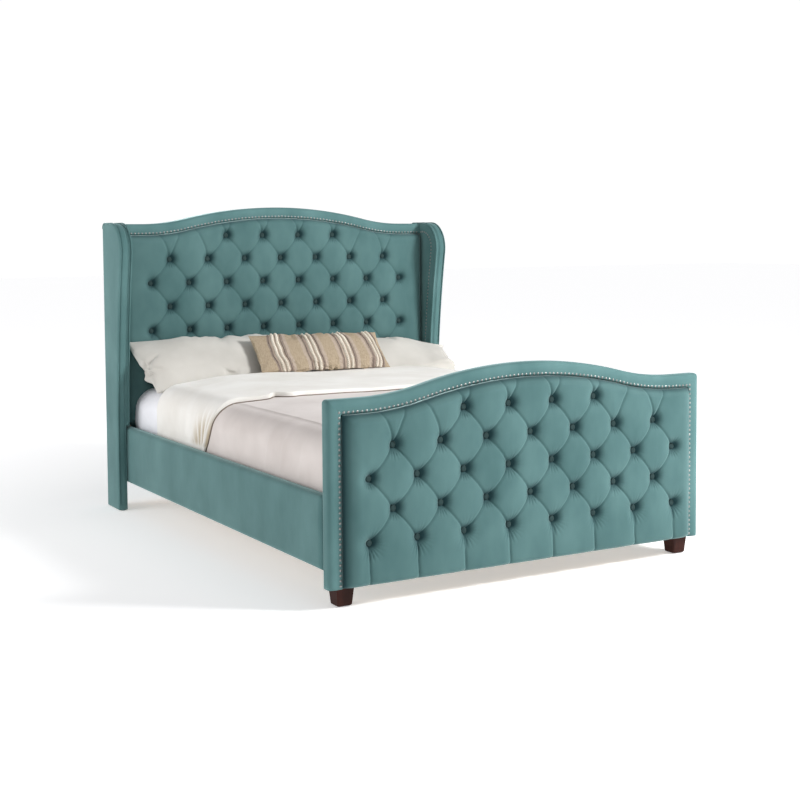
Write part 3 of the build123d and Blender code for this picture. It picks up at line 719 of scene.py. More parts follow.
def wing(side, sign, velvet):
    """Outer cover, inner lining with its pad, front band and piping of one wing."""
    outer = high("wing_outer_cover_right").x
    seat = low("wing_outer_cover_right").x
    rise = outer - seat
    profile = [(0.0, seat), (0.0, seat + 0.45 * rise), (0.0008, seat + 0.72 * rise)]
    profile += [(0.0025, seat + 0.9 * rise), (0.006, outer), (0.02, outer + 0.0008)]
    cover = [(inset, sign * x) for inset, x in profile]
    plate_mesh(f"wing_outer_{side}", [f"wing_outer_cover_{side}"], wing_ring, cover, velvet)

    inner = low("wing_lining_right").x
    core = high("wing_lining_right").x
    lining = [(0.0, sign * core), (0.0, sign * (core - 0.0035)), (0.002, sign * (core - 0.0055))]
    lining += [(0.006, sign * (core - 0.006))]
    plate_mesh(f"wing_inner_{side}", [f"wing_lining_{side}"], wing_ring, lining, velvet)

    bottom = low("rail_cover_left").z + WING_PAD_RISE
    back = low("headboard_panel").y

    def ring(inset):
        return resampled(pad_ring(inset, bottom, back))

    pad = [(0.0, core - 0.006), (0.0, inner + 0.008), (0.0012, inner + 0.0035), (0.004, inner + 0.001)]
    pad += [(0.010, inner), (0.03, inner - 0.001)]
    pad = [(inset, sign * x) for inset, x in pad]
    plate_mesh(f"wing_pad_{side}", [], ring, pad, velvet)
    wing_board(side, sign)
    front_band(side, sign, velvet, core, seat)
    for edge, x, start in (("outer", outer - PIPING, 0.003), ("inner", inner + PIPING, bottom)):
        piping(f"wing_piping_{edge}_{side}", side, sign * x, start, velvet)


def band_line(inset):
    """A wing's outline up the front, over the top and down the back."""
    line = wing_outline(inset)
    back, foot = line[-1], low("wing_core_left").z
    return line + [(back[0], back[1] + t * (foot - back[1])) for t in np.linspace(0, 1, 20)[1:]]


def wing_board(side, sign):
    """The board inside a wing, clear of the rounded corner of its covers."""
    foot = low("wing_core_left").z
    near, far = low("wing_core_right").x, high("wing_core_right").x

    def ring(inset):
        return [(y, foot if z < foot + inset + 0.001 else z) for y, z in wing_ring(inset)]

    profile = [(0.009, sign * (near + 0.0003)), (0.009, sign * (far - 0.0003))]
    plate_mesh(f"wing_board_{side}", [f"wing_core_{side}"], ring, profile, PINE)


def front_band(side, sign, velvet, inner, outer):
    """The padded strip between the two covers: up the front, over the top and down the back."""
    count = len(band_line(0))
    section = [(0.0075, 0.0), (0.0, 0.0), (-0.0014, 0.25), (-0.002, 0.5)]
    section += [(-0.0014, 0.75), (0.0, 1.0), (0.0075, 1.0)]
    points = []
    lines = [band_line(inset) for inset, _ in section]
    for i in range(count):
        for line, (_, share) in zip(lines, section):
            points.append((sign * (inner + share * (outer - inner)), *line[i]))
    faces = swept_faces(count, len(section), flip=sign > 0)
    obj = new_mesh(f"wing_front_{side}", points, faces, velvet)
    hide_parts(f"wing_front_band_{side}")


def tube(name, path, radius, material, segments=10, body="frame"):
    """A round cord along a path of points."""
    points = []
    path = [Vector(p) for p in path]
    for i, p in enumerate(path):
        ahead = path[min(i + 1, len(path) - 1)] - path[max(i - 1, 0)]
        ahead.normalize()
        side = Vector((1, 0, 0)) if abs(ahead.x) < 0.9 else Vector((0, 0, 1))
        side = (side - side.dot(ahead) * ahead).normalized()
        other = ahead.cross(side)
        for k in range(segments):
            a = 2 * math.pi * k / segments
            points.append(p + radius * (math.cos(a) * side + math.sin(a) * other))
    return new_mesh(name, points, swept_faces(len(path), segments), material, body)


def piping(name, side, x, start, material):
    """A welt of covered cord along a wing's edge."""
    line = [(y, z) for y, z in wing_outline(-PIPING) if z >= start]
    obj = tube(name, [(x, y, z) for y, z in line], PIPING, material)
    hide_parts(f"wing_piping_{side}")


def headboard_lower_cover(name, half, bottom, top, material):
    """Thin cloth over the boards below the headboard's tufting."""
    face = low("headboard_panel").y
    points = []
    profile = [(0.0, face - 0.0002), (0.0, face - 0.0022), (0.0012, face - 0.0034), (0.004, face - 0.004)]
    for inset, y in profile:
        x, lower, upper = half - inset, bottom + inset, top - inset
        points += [(-x, y, lower), (x, y, lower), (x, y, upper), (-x, y, upper)]
    faces = grid_faces(len(profile), 4, wrap=True)
    faces += [(0, 1, 2, 3), tuple(4 * (len(profile) - 1) + k for k in range(4))]
    obj = new_mesh(name, points, faces, material, smooth=False)


# ------------------------------------------------------------------ rails and legs
def rail(side, sign, material):
    """A side rail's padded cover: flat-faced, with soft edges and a slightly uneven face."""
    lo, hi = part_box(f"rail_cover_{side}")
    inner, outer = sorted((abs(lo.x), abs(hi.x)))
    bottom, top = lo.z, hi.z
    section = [
        (inner, bottom + 0.008), (inner, top - 0.012), (inner + 0.003, top - 0.004),
        (inner + 0.010, top), (outer - 0.016, top), (outer - 0.007, top - 0.0025),
        (outer - 0.002, top - 0.008), (outer, top - 0.018), (outer + 0.0012, (top + bottom) / 2),
        (outer, bottom + 0.016), (outer - 0.002, bottom + 0.006), (outer - 0.008, bottom),
        (inner + 0.006, bottom),
    ]
    count = 60
    points = []
    for y in np.linspace(lo.y, hi.y, count):
        wave = 0.0004 * math.sin(7 * y + sign) + 0.0003 * math.sin(19 * y)
        for x, z in section:
            points.append((sign * (x + (wave if x > outer - 0.001 else 0)), y, z))
    faces = swept_faces(count, len(section), flip=sign > 0)
    obj = new_mesh(f"rail_padding_{side}", points, faces, material)
    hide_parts(f"rail_cover_{side}")


def leg(side, material):
    """A square tapered leg with eased corners."""
    lo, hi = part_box(f"front_leg_{side}")
    centre = (lo + hi) / 2
    foot = LEG_FOOT_WIDTH / 2
    top = (hi.x - lo.x) / 2
    ease = 0.0035
    points = []
    levels = [(lo.z, foot - ease), (lo.z + ease, foot), (hi.z, top)]
    for z, half in levels:
        for sx, sy in ((1, 1), (-1, 1), (-1, -1), (1, -1)):
            near, far = half - ease, half
            pair = [(far, near), (near, far)] if sx * sy > 0 else [(near, far), (far, near)]
            points += [(centre.x + sx * a, centre.y + sy * b, z) for a, b in pair]
    faces = swept_faces(len(levels), 8)
    obj = new_mesh(f"tapered_leg_{side}", points, faces, material, smooth=False)
    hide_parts(f"front_leg_{side}")


# ------------------------------------------------------------------ bedding
SHEET_TOP = high("fitted_sheet").z
SHEET_HALF = high("fitted_sheet").x
SHEET_FOOT = low("fitted_sheet").y
SHEET_HEAD = high("fitted_sheet").y
SHEET_EDGE = 0.078
SHEET_CORNER = 0.083
GAP = 0.0006


def soft_noise(a, b, seed):
    """Smooth random heights between 0 and 1 over a plane, one bump to a unit."""
    lattice = np.random.default_rng(seed).random((97, 97))
    i, j = np.floor(a).astype(int), np.floor(b).astype(int)
    s, t = a - i, b - j
    s, t = s * s * (3 - 2 * s), t * t * (3 - 2 * t)
    near = lattice[i % 97, j % 97] * (1 - s) + lattice[(i + 1) % 97, j % 97] * s
    far = lattice[i % 97, (j + 1) % 97] * (1 - s) + lattice[(i + 1) % 97, (j + 1) % 97] * s
    return near * (1 - t) + far * t


def creases(a, b, seed):
    """Sharp-backed cloth creases: ridges where smooth noise crosses its middle height."""
    return (1 - np.abs(2 * soft_noise(a, b, seed) - 1)) ** 4


def side_points(start, corner_in, corner_out, count):
    """One side of a rounded outline: half an arc, a straight run and half an arc."""
    points = []
    for centre, angles in (corner_in, corner_out):
        part = []
        for angle in angles:
            nx, ny = math.cos(angle), math.sin(angle)
            part.append((centre[0] + CORE_CORNER * nx, centre[1] + CORE_CORNER * ny, nx, ny))
        points.append(part)
    first, last = points
    first = first or [start]
    run = np.linspace(0, 1, count + 1)[1:-1]
    a, b = first[-1], last[0] if last else start
    middle = [tuple((1 - t) * p + t * q for p, q in zip(a[:2], b[:2])) + a[2:] for t in run]
    return first + middle + last


CORE_CORNER = SHEET_CORNER - SHEET_EDGE
CORE_HALF = SHEET_HALF - SHEET_EDGE
CORE_FOOT = SHEET_FOOT + SHEET_EDGE


def core_sides(head, closed, cells):
    """The flat top's outline as left, foot, right and head sides of (x, y, normal x, normal y)."""
    x, y, r = CORE_HALF, CORE_FOOT, CORE_CORNER

    def turn(cx, cy, start):
        angles = [math.radians(start + 45 * t / 4) for t in range(5)]
        return ((cx, cy), angles)

    none = ((0, 0), [])
    foot_left, foot_right = (-x + r, y + r), (x - r, y + r)
    head_left, head_right = (-x + r, head - r), (x - r, head - r)
    opening = turn(*head_left, 135) if closed else none
    closing = turn(*head_right, 0) if closed else none
    left = side_points((-x, head, -1, 0), opening, turn(*foot_left, 180), cells[1])
    foot = side_points(None, turn(*foot_left, 225), turn(*foot_right, 270), cells[0])
    right = side_points((x, head, 1, 0), turn(*foot_right, 315), closing, cells[1])
    if not closed:
        right.append((x, head, 1, 0))
    top = None
    if closed:
        top = side_points(None, turn(*head_right, 45), turn(*head_left, 90), cells[0])
    return left, foot, right, top


def edge_profile(drop, wall_cells):
    """From the hem up over the mattress edge: (outset, fall, sideways part of normal, fall run)."""
    profile = []
    for t in np.linspace(0, 1, wall_cells + 1)[:-1]:
        fall = drop + (SHEET_EDGE - drop) * t
        profile.append((SHEET_EDGE, fall, 1.0))
    for t in np.linspace(0, 1, 8):
        angle = math.pi / 2 * (1 - t)
        profile.append((SHEET_EDGE * math.sin(angle), SHEET_EDGE * (1 - math.cos(angle)), math.sin(angle)))
    return profile


def over_mattress(head, drop, closed, cells, wall_cells):
    """Points, normals and faces of the surface that lies on the made-up mattress."""
    left, foot, right, top = core_sides(head, closed, cells)
    ring = left + foot[1:] + right[1:] + (top[1:-1] if closed else [])
    points, normals = [], []
    profile = edge_profile(drop, wall_cells)
    for outset, fall, sideways in profile:
        for x, y, nx, ny in ring:
            points.append((x + outset * nx, y + outset * ny, SHEET_TOP - fall))
            normals.append((sideways * nx, sideways * ny, math.sqrt(1 - sideways**2)))
    count = len(ring)
    faces = grid_faces(len(profile), count, wrap=closed)
    rows, columns = len(left), len(foot)
    base = (len(profile) - 1) * count
    index = {}
    for j in range(rows):
        index[j, 0] = base + j
        index[j, columns - 1] = base + rows + columns - 2 + (rows - 1 - j)
    for i in range(columns):
        index[rows - 1, i] = base + rows - 1 + i
        if closed and 0 < i < columns - 1:
            index[0, i] = base + count - i
    share = np.linspace(0, 1, columns)
    for j in range(rows):
        v = j / (rows - 1)
        for i in range(columns):
            if (j, i) in index:
                continue
            u = share[i]
            upper = top[::-1][i] if closed else ((2 * u - 1) * CORE_HALF, head)
            blend = [
                (1 - u) * left[j][k] + u * right[rows - 1 - j][k]
                + (1 - v) * upper[k] + v * foot[i][k]
                - (1 - u) * (1 - v) * left[0][k] - u * (1 - v) * right[-1][k]
                - (1 - u) * v * foot[0][k] - u * v * foot[-1][k]
                for k in (0, 1)
            ]
            index[j, i] = len(points)
            points.append((*blend, SHEET_TOP))
            normals.append((0, 0, 1))
    for j in range(rows - 1):
        for i in range(columns - 1):
            faces.append((index[j, i], index[j, i + 1], index[j + 1, i + 1], index[j + 1, i]))
    return np.array(points), np.array(normals), faces


def thick_cloth(name, outer, inner, faces, material, body):
    """A closed solid between two surfaces that share their faces."""
    count = len(outer)
    directed = {(f[k], f[(k + 1) % 4]) for f in faces for k in range(4)}
    rim = [(a, b) for a, b in directed if (b, a) not in directed]
    shell = list(faces)
    shell += [tuple(count + k for k in f[::-1]) for f in faces]
    shell += [(b, a, a + count, b + count) for a, b in sorted(rim)]
    return new_mesh(name, np.vstack([outer, inner]), shell, material, body)


def taper(distance, radius):
    """Rounds a thickness off to nothing over a radius from an edge."""
    t = np.clip(distance / radius, 0, 1)
    return np.sqrt(1 - (1 - t) ** 2)


def mattress():
    """The mattress: a block with rounded upright corners, top edge and base."""
    lo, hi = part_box("mattress")
    work = bmesh.new()
    bmesh.ops.create_cube(work, size=1)
    for v in work.verts:
        v.co = Vector((lo[k] + hi[k]) / 2 + v.co[k] * (hi[k] - lo[k]) for k in range(3))
    upright = [e for e in work.edges if abs(e.verts[0].co.z - e.verts[1].co.z) > 0.1]
    corner, edge, base = SHEET_CORNER - 0.002, SHEET_EDGE - 0.002, 0.03
    bmesh.ops.bevel(work, geom=upright, offset=corner, segments=10, profile=0.5, affect="EDGES")
    for height, radius in ((hi.z, edge), (lo.z, base)):
        rim = [e for e in work.edges if all(abs(v.co.z - height) < 0.001 for v in e.verts)]
        bmesh.ops.bevel(work, geom=rim, offset=radius, segments=8, profile=0.5, affect="EDGES")
    mesh = bpy.data.meshes.new("quilted_mattress")
    work.to_mesh(mesh)
    work.free()
    mesh.polygons.foreach_set("use_smooth", [True] * len(mesh.polygons))
    obj = bpy.data.objects.new("quilted_mattress", mesh)
    bpy.context.scene.collection.objects.link(obj)
    obj.data.materials.append(TICKING)
    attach(obj, "mattress")
    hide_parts("mattress")


def fitted_sheet():
    """White sheet pulled over the mattress, its corners creased and its hem gathered."""
    drop = SHEET_TOP - low("fitted_sheet").z - 0.004
    points, normals, faces = over_mattress(SHEET_HEAD, drop, True, (90, 120), 26)
    x, y, z = points.T
    side = 1 - normals[:, 2]
    near_hem = 1 - np.clip((z - low("fitted_sheet").z) / 0.09, 0, 1)
    around = np.where(np.abs(normals[:, 0]) > np.abs(normals[:, 1]), y, x)
    gathers = 0.0016 * near_hem * np.sin(around / 0.009 + 3 * soft_noise(around * 20, z * 8, 3))
    pull = creases(around * 9 + 14 * (SHEET_TOP - z), z * 5, 4)
    slack = 0.017 * np.abs(normals[:, 0]) * np.sin(math.pi * np.clip((SHEET_TOP - z) / 0.26, 0, 1))
    lift = GAP + side * (np.abs(gathers) + 0.0030 * pull + slack * smooth_step(y, 0.70, 0.90))
    lift = lift + (1 - side) * 0.0012 * creases(x * 4 + y * 2, y * 5, 5)
    points = points + normals * lift[:, None]
    obj = new_mesh("fitted_white_sheet", points, faces, WHITE_COTTON, "mattress", outward=False)
    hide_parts("fitted_sheet")


DUVET_HEAD = 0.735
DUVET_TOP = 0.026
DUVET_CROWN = 0.024
DUVET_SIDE = 0.0225
DUVET_FOOT = 0.0155
FOLD_TOP = 0.020
FOLD_SIDE = 0.0105
FOLD_ROUND = 0.010
EDGE_CORD = 0.0023


def fold_edge(u):
    """Where the turned-back part of the duvet ends along the bed, at a distance u across it."""
    over = np.clip((np.abs(u) - 0.56) / 0.38, 0, 1)
    top = -0.075 - 0.055 * u + 0.012 * np.sin(5.5 * u + 0.6)
    kink = 0.030 * np.exp(-(((u + 0.535) / 0.022) ** 2)) - 0.018 * np.exp(-(((u + 0.475) / 0.030) ** 2))
    return top + kink + 0.150 * over**1.4


def duvet_depth(across, y, normals, z):
    """Thickness of the duvet's lower part at a place on the mattress surface."""
    nx, ny, nz = normals.T
    crown = DUVET_CROWN * smooth_step(CORE_HALF + 0.10 - np.abs(across), 0, 0.32)
    crown = crown * smooth_step(y - CORE_FOOT + 0.10, 0, 0.32)
    depth = (DUVET_TOP + crown) * nz**2 + DUVET_SIDE * nx**2 + DUVET_FOOT * ny**2
    under_fold = smooth_step(y, fold_edge(across), fold_edge(across) + 0.05)
    depth = depth - under_fold * nx**2 * FOLD_SIDE
    puff = 0.007 * (soft_noise(across * 3.2 + 5, y * 3.2 + 9, 21) - 0.5)
    soft = 0.0014 * creases(across * 2.6 + y * 1.1, y * 2.2 - across, 22)
    soft += 0.0010 * creases(across * 6 - y * 3, y * 5 + across * 2, 23)
    hang = 0.005 * creases(y * 7 + 2.0 * z, z * 2.2, 24)
    free = smooth_step(z, 0.395, 0.43)
    depth = depth + nz**2 * (puff - soft) + free * nx**2 * (hang - 0.003) - (1 - free) * 0.001
    return GAP + np.maximum(depth, 0.006) * taper(DUVET_HEAD - y, 0.05)


def duvet():
    """The duvet tucked in round three sides of the mattress."""
    drop = SHEET_TOP - low("duvet").z
    points, normals, faces = over_mattress(DUVET_HEAD, drop, False, (130, 150), 26)
    x, y, z = points.T
    over = np.arccos(np.clip(normals[:, 2], 0, 1)) * SHEET_EDGE
    wall = np.maximum(SHEET_TOP - SHEET_EDGE - z, 0)
    across = np.where(np.abs(normals[:, 0]) > 0.01, np.sign(x) * (CORE_HALF + over + wall), x)
    depth = duvet_depth(across, y, normals, z)
    hem = taper(z - low("duvet").z, 0.014)
    outer = points + normals * (GAP + (depth - GAP) * hem)[:, None]
    inner = points + normals * GAP
    obj = thick_cloth("duvet_body", outer, inner, faces, DUVET, "duvet")
    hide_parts("duvet")


def across_section(count, drop):
    """Distances across the bed, over both edges, with their points and normals in section."""
    quarter = SHEET_EDGE * math.pi / 2
    reach = CORE_HALF + quarter + drop - SHEET_EDGE
    u = np.linspace(-reach, reach, count)
    beyond = np.maximum(np.abs(u) - CORE_HALF, 0)
    angle = np.minimum(beyond / SHEET_EDGE, math.pi / 2)
    wall = np.maximum(beyond - quarter, 0)
    x = np.sign(u) * (np.minimum(np.abs(u), CORE_HALF) + SHEET_EDGE * np.sin(angle))
    z = SHEET_TOP - SHEET_EDGE * (1 - np.cos(angle)) - wall
    normal = np.stack([np.sign(u) * np.sin(angle), 0 * u, np.cos(angle)], -1)
    return u, x, z, normal


def side_pleats(behind, height):
    """Upright pleats in the fold's side, pinched where it is tucked behind the rail, and painted shade for
    the valleys between them.
    """
    pinch = smooth_step(height, 0.395, 0.42) * (1 - smooth_step(height, 0.46, 0.56))
    raised = np.zeros_like(behind)
    for offset, size in ((0.014, 0.011), (0.036, 0.009), (0.060, 0.008), (0.089, 0.006), (0.125, 0.005)):
        centre = offset * (1 + 1.2 * (height - 0.40) / 0.15)
        raised += size * np.exp(-(((behind - centre) / 0.0075) ** 2))
    near = 1 - smooth_step(behind, 0.10, 0.22)
    # The second value is painted shade, strongest between the ridges near the edge.
    return pinch * (raised - 0.002), pinch * near * np.exp(-((raised / 0.004) ** 2))


def turned_down_top():
    """The head end of the duvet folded back over itself, with a taupe cord along its edge."""
    drop = SHEET_TOP - low("duvet").z - 0.02
    columns, rows = 380, 190
    u, x, z, normal = across_section(columns, drop)
    edge = fold_edge(u)
    share = 0.5 - 0.5 * np.cos(np.linspace(0, math.pi, rows))
    y = edge[None, :] + share[:, None] * (DUVET_HEAD - edge)[None, :]
    flat_u = np.tile(u, rows)
    flat_y = y.ravel()
    normals = np.tile(normal, (rows, 1))
    base = np.stack([np.tile(x, rows), flat_y, np.tile(z, rows)], -1)
    lower = duvet_depth(flat_u, flat_y, normals, base[:, 2]) + GAP
    top_share = normals[:, 2] ** 2
    thick = FOLD_TOP * top_share + FOLD_SIDE * (1 - top_share)
    behind = flat_y - np.tile(edge, rows)
    pleats, painted_pleat_shade = side_pleats(behind, base[:, 2])
    thick = thick + pleats
    thick = thick + top_share * 0.006 * (soft_noise(flat_u * 4, flat_y * 4, 32) - 0.4)
    roll = np.exp(-(((flat_u + 0.34) / 0.26) ** 2)) * smooth_step(flat_y, 0.35, 0.62)
    thick = thick + top_share * 0.010 * roll
    thick = thick - top_share * 0.0030 * creases(flat_u * 3 + 2 * flat_y, flat_y * 6 - flat_u, 33)
    front = taper(flat_y - np.tile(edge, rows), FOLD_ROUND)
    thick = thick * np.maximum(front, 0.02) * np.maximum(taper(DUVET_HEAD - flat_y, 0.06), 0.02)
    inner = base + normals * lower[:, None]
    outer = base + normals * (lower + np.maximum(thick, 0.0004))[:, None]
    hem = np.clip((base[:, 2] - base[:, 2].min()) / 0.014, 0.05, 1)
    outer = inner + (outer - inner) * hem[:, None]
    faces = grid_faces(rows, columns)
    obj = thick_cloth("duvet_turned_down", outer, inner, faces, DUVET_FACE, "duvet")
    # Painted shade for the pleats' valleys, stored on both faces of the fold.
    layer = obj.data.attributes.new("painted_pleat_shade", "FLOAT", "POINT")
    layer.data.foreach_set("value", np.tile(painted_pleat_shade, 2).astype(np.float32))
    beside = edge - 0.6 * EDGE_CORD
    cord_base = np.stack([x, beside, z], -1)
    lift = duvet_depth(u, beside, normal, z) + 0.8 * EDGE_CORD
    cord = tube("duvet_edge_cord", cord_base + normal * lift[:, None], EDGE_CORD, TAUPE, body="duvet")


# ------------------------------------------------------------------ pillows
def stuffed_panels(width, height, columns, rows, seed):
    """Two flat panels sewn round their edge and inflated, with the front grid's point numbers."""
    random = np.random.default_rng(seed)
    u = np.linspace(-1, 1, columns + 1)
    v = np.linspace(-1, 1, rows + 1)
    grid_u, grid_v = np.meshgrid(u, v)
    inside = (1 - grid_u**4) * (1 - grid_v**4)
    start = 0.006 * inside + 0.0015 * random.random(inside.shape) * inside
    front = np.stack([grid_u * width / 2, grid_v * height / 2, start], -1)
    back = front * (1, 1, -1)
    edge = np.zeros(inside.shape, bool)
    edge[0, :] = edge[-1, :] = edge[:, 0] = edge[:, -1] = True
    size = inside.size
    numbers = np.arange(size).reshape(inside.shape)
    back_numbers = numbers.copy()
    back_numbers[~edge] = size + np.arange((~edge).sum())
    faces = grid_faces(rows + 1, columns + 1)
    lookup = back_numbers.ravel()
    faces += [tuple(int(lookup[k]) for k in face[::-1]) for face in faces[:]]
    points = np.vstack([front.reshape(-1, 3), back[~edge]])
    points = inflate(points, faces)
    return points, faces, numbers


def inflate(points, faces):
    """Runs the cloth under air pressure until the cushion is full."""
    scene = bpy.context.scene
    mesh = bpy.data.meshes.new("inflating")
    mesh.from_pydata(points.tolist(), [], faces)
    obj = bpy.data.objects.new("inflating", mesh)
    scene.collection.objects.link(obj)
    cloth = obj.modifiers.new("Cloth", "CLOTH")
    settings = cloth.settings
    settings.quality = 5
    settings.mass = 0.2
    settings.tension_stiffness = 25
    settings.compression_stiffness = 25
    settings.shear_stiffness = 8
    settings.bending_stiffness = 0.35
    settings.use_pressure = True
    settings.uniform_pressure_force = 5
    settings.effector_weights.gravity = 0
    cloth.point_cache.frame_start = 1
    cloth.point_cache.frame_end = INFLATE_FRAMES
    for step in range(1, INFLATE_FRAMES + 1):
        scene.frame_set(step)
    result = obj.evaluated_get(bpy.context.evaluated_depsgraph_get()).to_mesh()
    settled = np.array([v.co for v in result.vertices])
    bpy.data.objects.remove(obj)
    bpy.data.meshes.remove(mesh)
    scene.frame_set(1)
    return settled


INFLATE_FRAMES = 26


def fit_local(points, width, height, thickness):
    """Scales an inflated cushion about its middle to its finished size."""
    points = points - (points.max(0) + points.min(0)) / 2
    return points * (np.array([width, height, thickness]) / np.ptp(points, axis=0))


def square_up(points, numbers, bow):
    """Draws the sides of an inflated cushion out again, leaving them slightly hollow."""
    points = points.copy()
    pairs = ((1, 0, numbers[0], numbers[-1]), (0, 1, numbers[:, 0], numbers[:, -1]))
    for axis, along, first, last in pairs:
        size, length = np.ptp(points[:, axis]), np.ptp(points[:, along])
        centre = (points[:, along].max() + points[:, along].min()) / 2
        middle = (points[:, axis].max() + points[:, axis].min()) / 2
        sides = []
        for seam in (first, last):
            seam = seam[np.argsort(points[seam, along])]
            line = np.convolve(np.pad(points[seam, axis], 4, mode="edge"), np.ones(9) / 9, "valid")
            sides.append(np.interp(points[:, along], points[seam, along], line))
        share = (points[:, axis] - sides[0]) / np.maximum(sides[1] - sides[0], 0.01)
        half = 2 * (points[:, along] - centre) / length
        now = size * (1 - bow * (1 - half**2))
        points[:, axis] = middle + now * (share - 0.5)
    return points


def lean_back(points, centre, angle, roll=0.0):
    """Stands a flat cushion up, leaning back on what is behind it."""
    a, b, c = points.T
    a, b = a * math.cos(roll) + b * math.sin(roll), b * math.cos(roll) - a * math.sin(roll)
    y = centre[1] + b * math.cos(angle) - c * math.sin(angle)
    z = centre[2] + b * math.sin(angle) + c * math.cos(angle)
    return np.stack([centre[0] + a, y, z], -1)


def soft_limit(value, limit, give=0.012):
    """Keeps values under a limit, flattening them gently as they reach it."""
    over = value - (limit - give)
    return np.where(over > 0, limit - give + give * (1 - np.exp(-np.maximum(over, 0) / give)), value)


PILLOW_FLAT = (0.80, 0.44)
PILLOW_FULL = (0.355, 0.160)
PILLOW_AT = (0.874, 0.680)
PILLOW_LEAN = 41
SLUMP_LEAN = 13


def slump_room(x, wing_face):
    """How much further back than the wing's nose a pillow may lie, at a distance across the bed."""
    return 2.0 * np.maximum(wing_face - 0.006 - x, 0)


def pillow(side, seed, ends, slump):
    """A sleeping pillow slumped against the headboard, flattened where the cushion lies on it."""
    hi = high(f"pillow_{side}")
    start, end = ends
    width = end - start
    points, faces, numbers = stuffed_panels(*PILLOW_FLAT, 80, 44, seed)
    points = fit_local(square_up(points, numbers, 0.05), width, *PILLOW_FULL)
    sign = -1 if side == "left" else 1
    outer = np.clip(sign * points[:, 0] / (width / 2), 0, 1)
    points[:, 0] += sign * 0.035 * outer * points[:, 1] / 0.17 * (1 - slump)
    fallen = slump * smooth_step(outer, 0.2, 1)
    forward = slump * smooth_step(outer, 0.60, 1)
    a, b, c = points.T
    angle = np.radians(PILLOW_LEAN - SLUMP_LEAN * fallen)
    y = PILLOW_AT[0] - 0.035 * fallen - 0.085 * forward + b * np.cos(angle) - c * np.sin(angle)
    z = PILLOW_AT[1] - 0.040 * slump - 0.010 * fallen + b * np.sin(angle) + c * np.cos(angle)
    x = (start + end) / 2 + a
    wing_face = low("wing_lining_right").x - 0.007
    if side == "left":
        x = -soft_limit(-x, wing_face, 0.015)
    y = soft_limit(y, hi.y, 0.02)
    y = soft_limit(y, WING_NOSE - 0.014 + slump_room(x, wing_face), 0.02) if slump else y
    z = -soft_limit(-z, -(SHEET_TOP + 0.0008), 0.012)
    low_down = 1 - smooth_step(z, 0.625, 0.665)
    y = y + low_down * (-soft_limit(-y, -(DUVET_HEAD + 0.003), 0.010) - y)
    slope = (z - 0.6555 - (y - 0.744)) * math.sqrt(0.5)
    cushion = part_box("lumbar_pillow")
    held = smooth_step(x, cushion[0].x - 0.10, cushion[0].x + 0.02)
    held = held * (1 - smooth_step(x, cushion[1].x - 0.02, cushion[1].x + 0.10))
    push = held * np.maximum(slope - soft_limit(slope, 0.002, 0.012), 0)
    y = y + push * math.sqrt(0.5)
    z = z - push * math.sqrt(0.5)
    z = -soft_limit(-z, -(SHEET_TOP + 0.0008), 0.004)
    obj = new_mesh(f"sleeping_pillow_{side}", np.stack([x, y, z], -1), faces, PILLOW, f"pillow_{side}")
    relaxed = obj.modifiers.new("Smooth", "SMOOTH")
    relaxed.factor = 0.5
    relaxed.iterations = 3
    obj.modifiers.new("Subdivision", "SUBSURF").levels = 1
    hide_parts(f"pillow_{side}")


BAND_PLACES = (0.185, 0.425, 0.665, 0.895)


def lumbar_cushion():
    """Woven lumbar cushion with four bands, each a pair of braids between taupe stripes."""
    lo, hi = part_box("lumbar_pillow")
    columns, rows = 140, 46
    points, faces, numbers = stuffed_panels(0.74, 0.28, columns, rows, 43)
    points = fit_local(square_up(points, numbers, 0.03), hi.x - lo.x, 0.236, 0.082)
    centre = tuple((lo[k] + hi[k]) / 2 for k in range(3))
    world = lean_back(points, centre, math.radians(45), math.radians(1.2))
    obj = new_mesh("lumbar_cushion", world, faces, TAN_WEAVE, "lumbar_pillow")
    for material in (ROSE_WEAVE, TAUPE_WEAVE):
        obj.data.materials.append(material)
    for number, polygon in enumerate(obj.data.polygons):
        share = ((number % (columns * rows)) % columns + 0.5) / columns
        polygon.material_index = weave_at(share)
    obj.modifiers.new("Subdivision", "SUBSURF").levels = 1
    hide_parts("lumbar_pillow")
    for count, place_across in enumerate(BAND_PLACES):
        band(count, world, numbers, place_across * columns, columns)


def weave_at(share):
    """Which cloth shows at a share of the cushion's width: tan, rose or taupe."""
    offset = min(abs(share - place_across) for place_across in BAND_PLACES)
    if 0.034 < offset < 0.056:
        return 2
    if offset < 0.034 or BAND_PLACES[0] < share < BAND_PLACES[-1] and 0.056 < offset < 0.078:
        return 1
    return 0


def surface_line(world, numbers, column):
    """A line up the cushion at a fractional column, with its outward direction."""
    i = int(column)
    t = column - i
    left, right = world[numbers[:, i]], world[numbers[:, i + 1]]
    line = (1 - t) * left + t * right
    across = right - left
    along = np.gradient(line, axis=0)
    normal = np.cross(across, along)
    normal /= np.maximum(np.linalg.norm(normal, axis=1), 1e-9)[:, None]
    across /= np.maximum(np.linalg.norm(across, axis=1), 1e-9)[:, None]
    return line, across, normal


